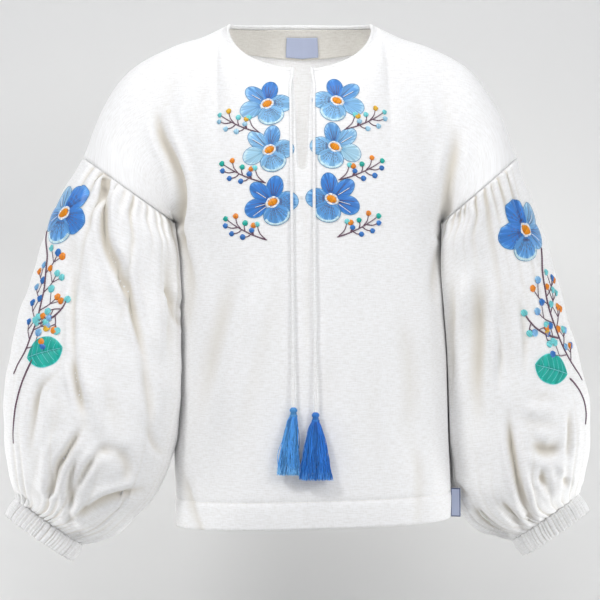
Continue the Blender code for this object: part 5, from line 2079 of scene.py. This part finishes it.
@dataclass
class Blouse:
    """The whole garment."""

    body: Body = field(default_factory=Body)
    binding_height: float = 0.0040
    binding_thick: float = 0.0026
    facing_share: float = 0.36
    facing_fall: float = 0.235
    label_size: tuple = (0.031, 0.021)
    label_drop: float = 0.0085
    side_label_height: float = 0.0275
    side_label_share: float = 0.955
    side_label_reach: tuple = (0.0086, 0.0020)
    ruches: int = 58
    slack: float = 0.0055

    def panel(self, face: Face, wardrobe: Wardrobe) -> tuple[Skin, Array, Array, bpy.types.Object]:
        """Makes the front or the back.

        Args:
            face: Which panel.
            wardrobe: The finishes.

        Returns:
            Its surface, the share and fall of its points, and the piece.
        """
        front = face is Face.FRONT
        skin, share, fall = self.body.skin(
            face.value, 110 if front else 84, 96 if front else 70, 84 if front else 64
        )
        edge = smooth(0.0, 0.05, fall) * smooth(1.0, 0.97, np.abs(share))
        height = relief_of(FRONT_CREASES if front else BACK_CREASES, skin, face.value)
        # Painted shade: the deeper a crease presses in, the more of the darker fold colour the cloth is
        # painted with
        skin.mark(height * edge)
        height += unevenness(skin.points, 0.055, 0.0005, 0.3 if front else 1.9)
        stitch = self.body.hem_stitch
        groove = np.exp(-(((fall - stitch) / 0.0045) ** 2))
        pucker = 0.5 + 0.5 * np.sin(np.arctan2(skin.points[:, 0], skin.points[:, 1]) * 61.0)
        below = smooth(stitch, stitch + 0.02, fall) * smooth(2.0, 1.96, fall)
        height = height * edge - groove * (0.0007 + 0.0004 * pucker) + 0.0007 * below
        seam = np.exp(-(((np.abs(share) - 0.985) / 0.012) ** 2)) * smooth(1.0, 0.95, fall)
        skin.push(height + 0.0004 * seam)
        wall = np.where(fall > stitch + 0.002, self.body.hem_wall, self.body.wall)
        name = "front_panel" if front else "back_panel"
        made = skin.shell(name, wall, wardrobe.linen)
        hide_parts("front" if front else "back")
        return skin, share, fall, made

    def sleeve(self, side: Side, wardrobe: Wardrobe) -> tuple[Skin, SleeveForm, bpy.types.Object]:
        """Makes a sleeve.

        Args:
            side: Which sleeve.
            wardrobe: The finishes.

        Returns:
            Its surface, its form and the piece.
        """
        form = SleeveForm(self.body, side)
        seed = 5 if side is Side.LEFT else 9
        pleats = gathers(seed, 40.0, 172.0, 14, 0.0036, 2.0) + gathers(
            seed + 1, 188.0, 326.0, 14, 0.0036, 2.0
        )
        cuff = gathers(seed + 2, 0.0, 360.0, 52, 0.0042, 2.0)
        rows = np.concatenate(
            [np.linspace(0.0, 1.0, 22), np.linspace(1.0, 9.5, 92)[1:], np.linspace(9.5, 12.0, 52)[1:]]
        )
        skin, row, _ = form.skin(276, rows, pleats, cuff)
        creases = LEFT_SLEEVE_CREASES if side is Side.LEFT else RIGHT_SLEEVE_CREASES
        height = relief_of(creases, skin, -1)
        other = RIGHT_SLEEVE_CREASES if side is Side.LEFT else LEFT_SLEEVE_CREASES
        mirrored = tuple(
            Crease(tuple((-x, z + 6.0) for x, z in c.line), c.depth, c.width, c.head, c.tail) for c in other
        )
        height += relief_of(mirrored, skin, 1)
        # Painted shade: the crease depth sets how much darker fold colour the sleeve is painted with
        skin.mark(height)
        height += unevenness(skin.points, 0.045, 0.0009, 2.2 + side.value)
        height *= smooth(0.0, 0.3, row) * smooth(12.0, 11.6, row)
        skin.push(height)
        # The slack of the inner front rests against the body, so that no slot shows between the two
        x, y, z = skin.points.T
        slack = smooth(0.180, 0.160, side.value * x) * smooth(0.02, -0.015, y)
        slack = slack * smooth(-0.18, -0.21, z) * smooth(-0.46, -0.41, z)
        skin.points[:, 0] -= side.value * self.slack * slack
        kept = self.body.clear(skin.points, 0.0010)
        skin.points = np.where((row > 0.02)[:, None], kept, skin.points)
        skin.renew()
        word = side.name.lower()
        made = skin.shell("full_sleeve_" + word, self.body.wall, wardrobe.linen)
        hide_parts("sleeve_" + word)
        return skin, form, made

    def cuff(self, form: SleeveForm, wardrobe: Wardrobe) -> bpy.types.Object:
        """Makes a ruched cuff.

        Args:
            form: The sleeve's form.
            wardrobe: The finishes.

        Returns:
            The piece.
        """
        columns, rows = 600, 15
        turn = np.linspace(0.0, 2.0 * np.pi, columns, endpoint=False)
        centre, half, depth, _ = form.section(12.0)
        axis = form.axis()
        wide, deep = np.cos(turn)[:, None] * half, -np.sin(turn)[:, None] * np.array([0.0, depth, 0.0])
        out = unit(wide + deep)
        rng = np.random.default_rng(21 + form.side.value)
        parts = np.cumsum(np.concatenate([[0.0], 0.55 + rng.random(self.ruches)]))
        parts *= 2.0 * np.pi / parts[-1]
        tall = 0.0016 + 0.0014 * rng.random(self.ruches)
        slant = 0.05 * (rng.random(self.ruches) - 0.5)
        rings, valleys = [], []
        for share in np.linspace(0.0, 1.0, rows):
            leaned = (turn + 0.02 * math.sin(3.0 * share + 2.0 * form.side.value)) % (2.0 * np.pi)
            which = np.clip(np.searchsorted(parts, leaned, side="right") - 1, 0, self.ruches - 1)
            breadth = parts[which + 1] - parts[which]
            within = (leaned - parts[which]) / breadth + slant[which] * (share - 0.5)
            height = tall[which] * (np.sin(np.pi * np.clip(within, 0.0, 1.0)) ** 0.55 - 0.55)
            swell = 0.62 + 0.38 * math.sin(math.pi * share) ** 0.5
            edge = 0.0006 * np.sin(31.0 * turn + 2.0 * share) * abs(2.0 * share - 1.0) ** 4
            down = 0.0003 + 0.0185 * share + edge
            lift = height * swell + 0.0004 + 0.0008 * math.sin(math.pi * share)
            rings.append(centre + wide + deep + axis * down[:, None] + out * lift[:, None])
            # Painted shade: the valleys between the ruches get the darker fold colour
            valleys.append(5.0 * np.minimum(height, 0.0) * swell)
        points = np.concatenate(rings)
        quads = grid_quads(rows, columns, wrap=True)
        round_it, down = 0.26 * np.arange(columns + 1) / columns, 0.0185 * np.linspace(0.0, 1.0, rows)
        i, j = np.meshgrid(np.arange(rows - 1), np.arange(columns), indexing="ij")
        corners = np.stack(
            [
                np.stack([round_it[j], -down[i]], -1),
                np.stack([round_it[j], -down[i + 1]], -1),
                np.stack([round_it[j + 1], -down[i + 1]], -1),
                np.stack([round_it[j + 1], -down[i]], -1),
            ],
            2,
        ).reshape(-1, 4, 2)
        if form.side is Side.RIGHT:
            quads, corners = quads[:, ::-1], corners[:, ::-1]
        word = form.side.name.lower()
        skin = Skin(points, quads, corners)
        skin.mark(np.concatenate(valleys))
        made = skin.shell("ruched_cuff_" + word, 0.0016, wardrobe.linen)
        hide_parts("cuff_" + word)
        return made

    def neck_loop(self, skins: dict, shares: dict, falls: dict) -> tuple[Array, Array]:
        """Follows the neck edge from the left end of the slit round the back to the right end.

        Args:
            skins: The two surfaces.
            shares: The share of each point.
            falls: The fall of each point.

        Returns:
            Points and normals of the edge.
        """
        loops = {}
        for face in Face:
            skin = skins[face]
            row = np.flatnonzero(
                (falls[face] == 0.0) & (np.abs(shares[face]) <= self.body.neck_share + 1e-9)
            )
            row = row[np.argsort(skin.points[row, 0])]
            loops[face] = (skin.points[row], skin.normals[row])
        half = len(loops[Face.FRONT][0]) // 2
        joined = []
        for which in (0, 1):
            front, rear = loops[Face.FRONT][which], loops[Face.BACK][which]
            joined.append(np.concatenate([front[:half][::-1], rear[1:-1], front[half:][::-1]]))
        return joined[0], joined[1]

    def binding(self, path: Array, normals: Array, wardrobe: Wardrobe) -> bpy.types.Object:
        """Makes the narrow strip round the neck.

        Args:
            path: Points of the neck edge.
            normals: Normals there.
            wardrobe: The finishes.

        Returns:
            The piece.
        """
        outward = unit(normals)
        along = unit(np.gradient(path, axis=0))
        away = unit(np.cross(along, outward))
        away *= np.sign(np.sum(away * (np.array([self.body.centre_x, 0.0, 0.02]) - path), axis=1))[:, None]
        centre = path + away * (0.5 * self.binding_height - 0.0002) - outward * 0.0006
        around = 14
        turn = np.linspace(0.0, 2.0 * np.pi, around, endpoint=False)
        rings = []
        for k in range(len(path)):
            ripple = 1.0 + 0.03 * math.sin(1.9 * k) + 0.02 * math.sin(0.7 * k)
            high = 0.5 * self.binding_height * np.sign(np.sin(turn)) * np.abs(np.sin(turn)) ** 0.8 * ripple
            wide = 0.5 * self.binding_thick * np.sign(np.cos(turn)) * np.abs(np.cos(turn)) ** 0.7
            rings.append(centre[k] + away[k] * high[:, None] + outward[k] * wide[:, None])
        caps = [
            np.repeat(rings[0].mean(axis=0)[None], around, 0),
            np.repeat(rings[-1].mean(axis=0)[None], around, 0),
        ]
        points = np.concatenate([caps[0], *rings, caps[1]])
        quads = grid_quads(len(path) + 2, around, wrap=True)
        run = np.concatenate([[0.0, 0.0], np.cumsum(np.linalg.norm(np.diff(path, axis=0), axis=1)), [0.0]])
        run[-1] = run[-2]
        flat = np.stack(
            np.broadcast_arrays(run[:, None], 0.011 * np.arange(around)[None] / around), -1
        ).reshape(-1, 2)
        made = piece("neck_binding_strip", points, quads, [wardrobe.linen], flat[quads])
        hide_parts("neck_binding")
        return made

    def inner_layer(self, face: int, shares: Array, falls: Array, lift: float) -> Skin:
        """Makes a surface that lies inside a panel, or over it.

        Args:
            face: -1 for the front and 1 for the back.
            shares: Its lines.
            falls: Its rows.
            lift: How far it lies outside the panel's outer skin; negative is inside.

        Returns:
            The surface.
        """
        share, fall = (a.ravel() for a in np.meshgrid(shares, falls))
        points = self.body.place(share, fall, face)
        quads = grid_quads(len(falls), len(shares))
        quads = quads[:, ::-1] if face > 0 else quads
        grid = points.reshape(len(falls), len(shares), 3)
        across = np.concatenate([[0.0], np.cumsum(np.linalg.norm(np.diff(grid[-1], axis=0), axis=1))])
        down = np.concatenate(
            [[0.0], np.cumsum(np.linalg.norm(np.diff(grid[:, len(shares) // 2], axis=0), axis=1))]
        )
        flat = np.stack([a.ravel() for a in np.meshgrid(across, -down)], -1)
        skin = Skin(points, quads, flat[quads])
        skin.points = skin.points + skin.normals * lift
        return skin

    def facing(self, wardrobe: Wardrobe) -> bpy.types.Object:
        """Makes the layer inside the back of the neck.

        Args:
            wardrobe: The finishes.

        Returns:
            The piece.
        """
        shares = np.linspace(-self.facing_share, self.facing_share, 91)
        skin = self.inner_layer(
            1, shares, np.linspace(0.004, self.facing_fall, 40), -self.body.wall - 0.0006
        )
        made = skin.shell("neck_facing", 0.0010, wardrobe.facing)
        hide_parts("back_neck_facing")
        return made


    def slit_lines(self, ground: Ground) -> list:
        """Finds the stitches that close the slit's facing below its foot.

        Args:
            ground: The front.

        Returns:
            Two short lines across.
        """
        lines = []
        for z, half in ((-163.0, 6.0), (-164.6, 6.0)):
            lines.append(np.array([ground.land(2.0 + x, z)[0] for x in np.linspace(-half, half, 9)]))
        return lines

    def neck_label(self, wardrobe: Wardrobe) -> bpy.types.Object:
        """Makes the bare woven label in the back of the neck.

        Args:
            wardrobe: The finishes.

        Returns:
            The piece.
        """
        falls = np.linspace(0.0, 0.3, 61)
        line = self.body.place(0.0, falls, 1)
        run = np.concatenate([[0.0], np.cumsum(np.linalg.norm(np.diff(line, axis=0), axis=1))])
        wide = np.linalg.norm(self.body.place(0.02, 0.1, 1)[0] - self.body.place(0.0, 0.1, 1)[0])
        share = 0.5 * self.label_size[0] / wide * 0.02
        low, high = np.interp([self.label_drop, self.label_drop + self.label_size[1]], run, falls)
        skin = self.inner_layer(1, np.linspace(-share, share, 32), np.linspace(low, high, 22), -0.0037)
        made = skin.shell("neck_label_tape", 0.0007, wardrobe.tape)
        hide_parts("neck_label")
        return made

    def side_label(self, wardrobe: Wardrobe) -> bpy.types.Object:
        """Makes the bare folded label beside the right side seam, with its dark edge.

        Args:
            wardrobe: The finishes.

        Returns:
            The piece.
        """
        top = 2.0 - self.side_label_height / (self.body.underarm_z - self.body.hem_z)
        falls = np.linspace(top, 1.999, 31)
        root = self.body.place(self.side_label_share, falls, -1) + np.array([0.0008, -0.0004, 0.0])
        steps = np.linspace(0.0, 1.0, 13)
        wide, lean = self.side_label_reach
        away = np.stack([wide * steps, -lean * steps**2, 0.0 * steps], -1)
        points = (root[:, None] + away[None]).reshape(-1, 3)
        quads = grid_quads(31, 13)
        flat = np.stack(
            [a.ravel() for a in np.meshgrid(wide * steps, np.linspace(0.0, -self.side_label_height, 31))],
            -1,
        )
        skin = Skin(points, quads, flat[quads])
        made = skin.shell("side_label_tape", 0.0010, wardrobe.tape)
        edge = np.zeros((30, 12), bool)
        edge[:, [0, -1]] = edge[[0, -1], :] = True
        made.data.materials.append(wardrobe.tape_edge)
        marks = np.zeros(len(made.data.polygons), np.int32)
        marks[: 30 * 12] = edge.ravel()
        made.data.polygons.foreach_set("material_index", marks)
        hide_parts("side_label")
        return made


@dataclass
class Seam:
    """A row of machine stitches: short threads that lie along a line of the cloth."""

    stitch: float = 0.0026
    gap: float = 0.0009
    half: float = 0.00024

    def sew(self, name: str, lines: list, ground: Ground, wardrobe: Wardrobe) -> bpy.types.Object:
        """Sews lines of stitches.

        Args:
            name: The piece's name.
            lines: Points of each line.
            ground: The cloth.
            wardrobe: The finishes.

        Returns:
            The piece.
        """
        points, faces, places, count = [], [], [], 0
        for line in lines:
            steps = np.concatenate([[0.0], np.cumsum(np.linalg.norm(np.diff(line, axis=0), axis=1))])
            for start in np.arange(0.0, steps[-1] - self.stitch, self.stitch + self.gap):
                at = start + self.stitch * np.array([0.0, 0.2, 0.5, 0.8, 1.0])
                way = np.column_stack([np.interp(at, steps, line[:, i]) for i in range(3)])
                lift = np.array([-0.1, 0.14, 0.2, 0.14, -0.1]) * MM
                ring, quads = tube(ground.settle(way, lift), self.half, self.half, 5)
                points.append(ring)
                faces.append(quads + count)
                flat = np.column_stack([np.repeat(at, 5), np.tile(np.arange(5) * self.half, 5)])
                places.append(flat[quads])
                count += len(ring)
        made = piece(
            name, np.concatenate(points), np.concatenate(faces), [wardrobe.thread], np.concatenate(places)
        )
        return made


def hem_lines(blouse: Blouse, skins: dict, falls: dict, shares: dict) -> dict:
    """Finds the lines of the hem's stitches on both panels.

    Args:
        blouse: The blouse.
        skins: The surface of each panel.
        falls: The fall of each point.
        shares: The share of each point.

    Returns:
        A list of lines for each panel.
    """
    lines = {}
    for face in Face:
        rows = np.unique(falls[face])
        row = rows[np.argmin(np.abs(rows - blouse.body.hem_stitch))]
        there = np.flatnonzero(falls[face] == row)
        there = there[np.argsort(shares[face][there])]
        lines[face] = [skins[face].points[there]]
    return lines


def main() -> None:
    """Builds the studio and the blouse."""
    logging.basicConfig(level=logging.INFO, format="%(message)s")
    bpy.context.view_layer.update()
    Studio().build()
    wardrobe = Wardrobe()
    for tie in TIES:
        tie.build(wardrobe)
    blouse = Blouse()
    skins, shares, falls, panels = {}, {}, {}, {}
    for face in Face:
        skins[face], shares[face], falls[face], panels[face] = blouse.panel(face, wardrobe)
    grounds = {face: Ground(skins[face].tree()) for face in Face}
    binding = blouse.binding(*blouse.neck_loop(skins, shares, falls), wardrobe)
    facing = blouse.facing(wardrobe)
    chest = [Chest().sew(side, grounds[Face.FRONT], wardrobe) for side in Side]
    labels = [blouse.neck_label(wardrobe), blouse.side_label(wardrobe)]
    hems = hem_lines(blouse, skins, falls, shares)
    hems[Face.FRONT] += blouse.slit_lines(grounds[Face.FRONT])
    seams = [
        Seam().sew(
            f"seam_stitches_{face.name.lower()}", hems[face], grounds[face], wardrobe
        ) for face in Face
    ]
    for side in Side:
        skin, form, sleeve = blouse.sleeve(side, wardrobe)
        spray = next(spray for spray in SPRAYS if spray.side is side)
        on_it = [blouse.cuff(form, wardrobe), spray.sew(Ground(skin.tree()), wardrobe)]


if __name__ == "__main__":
    main()
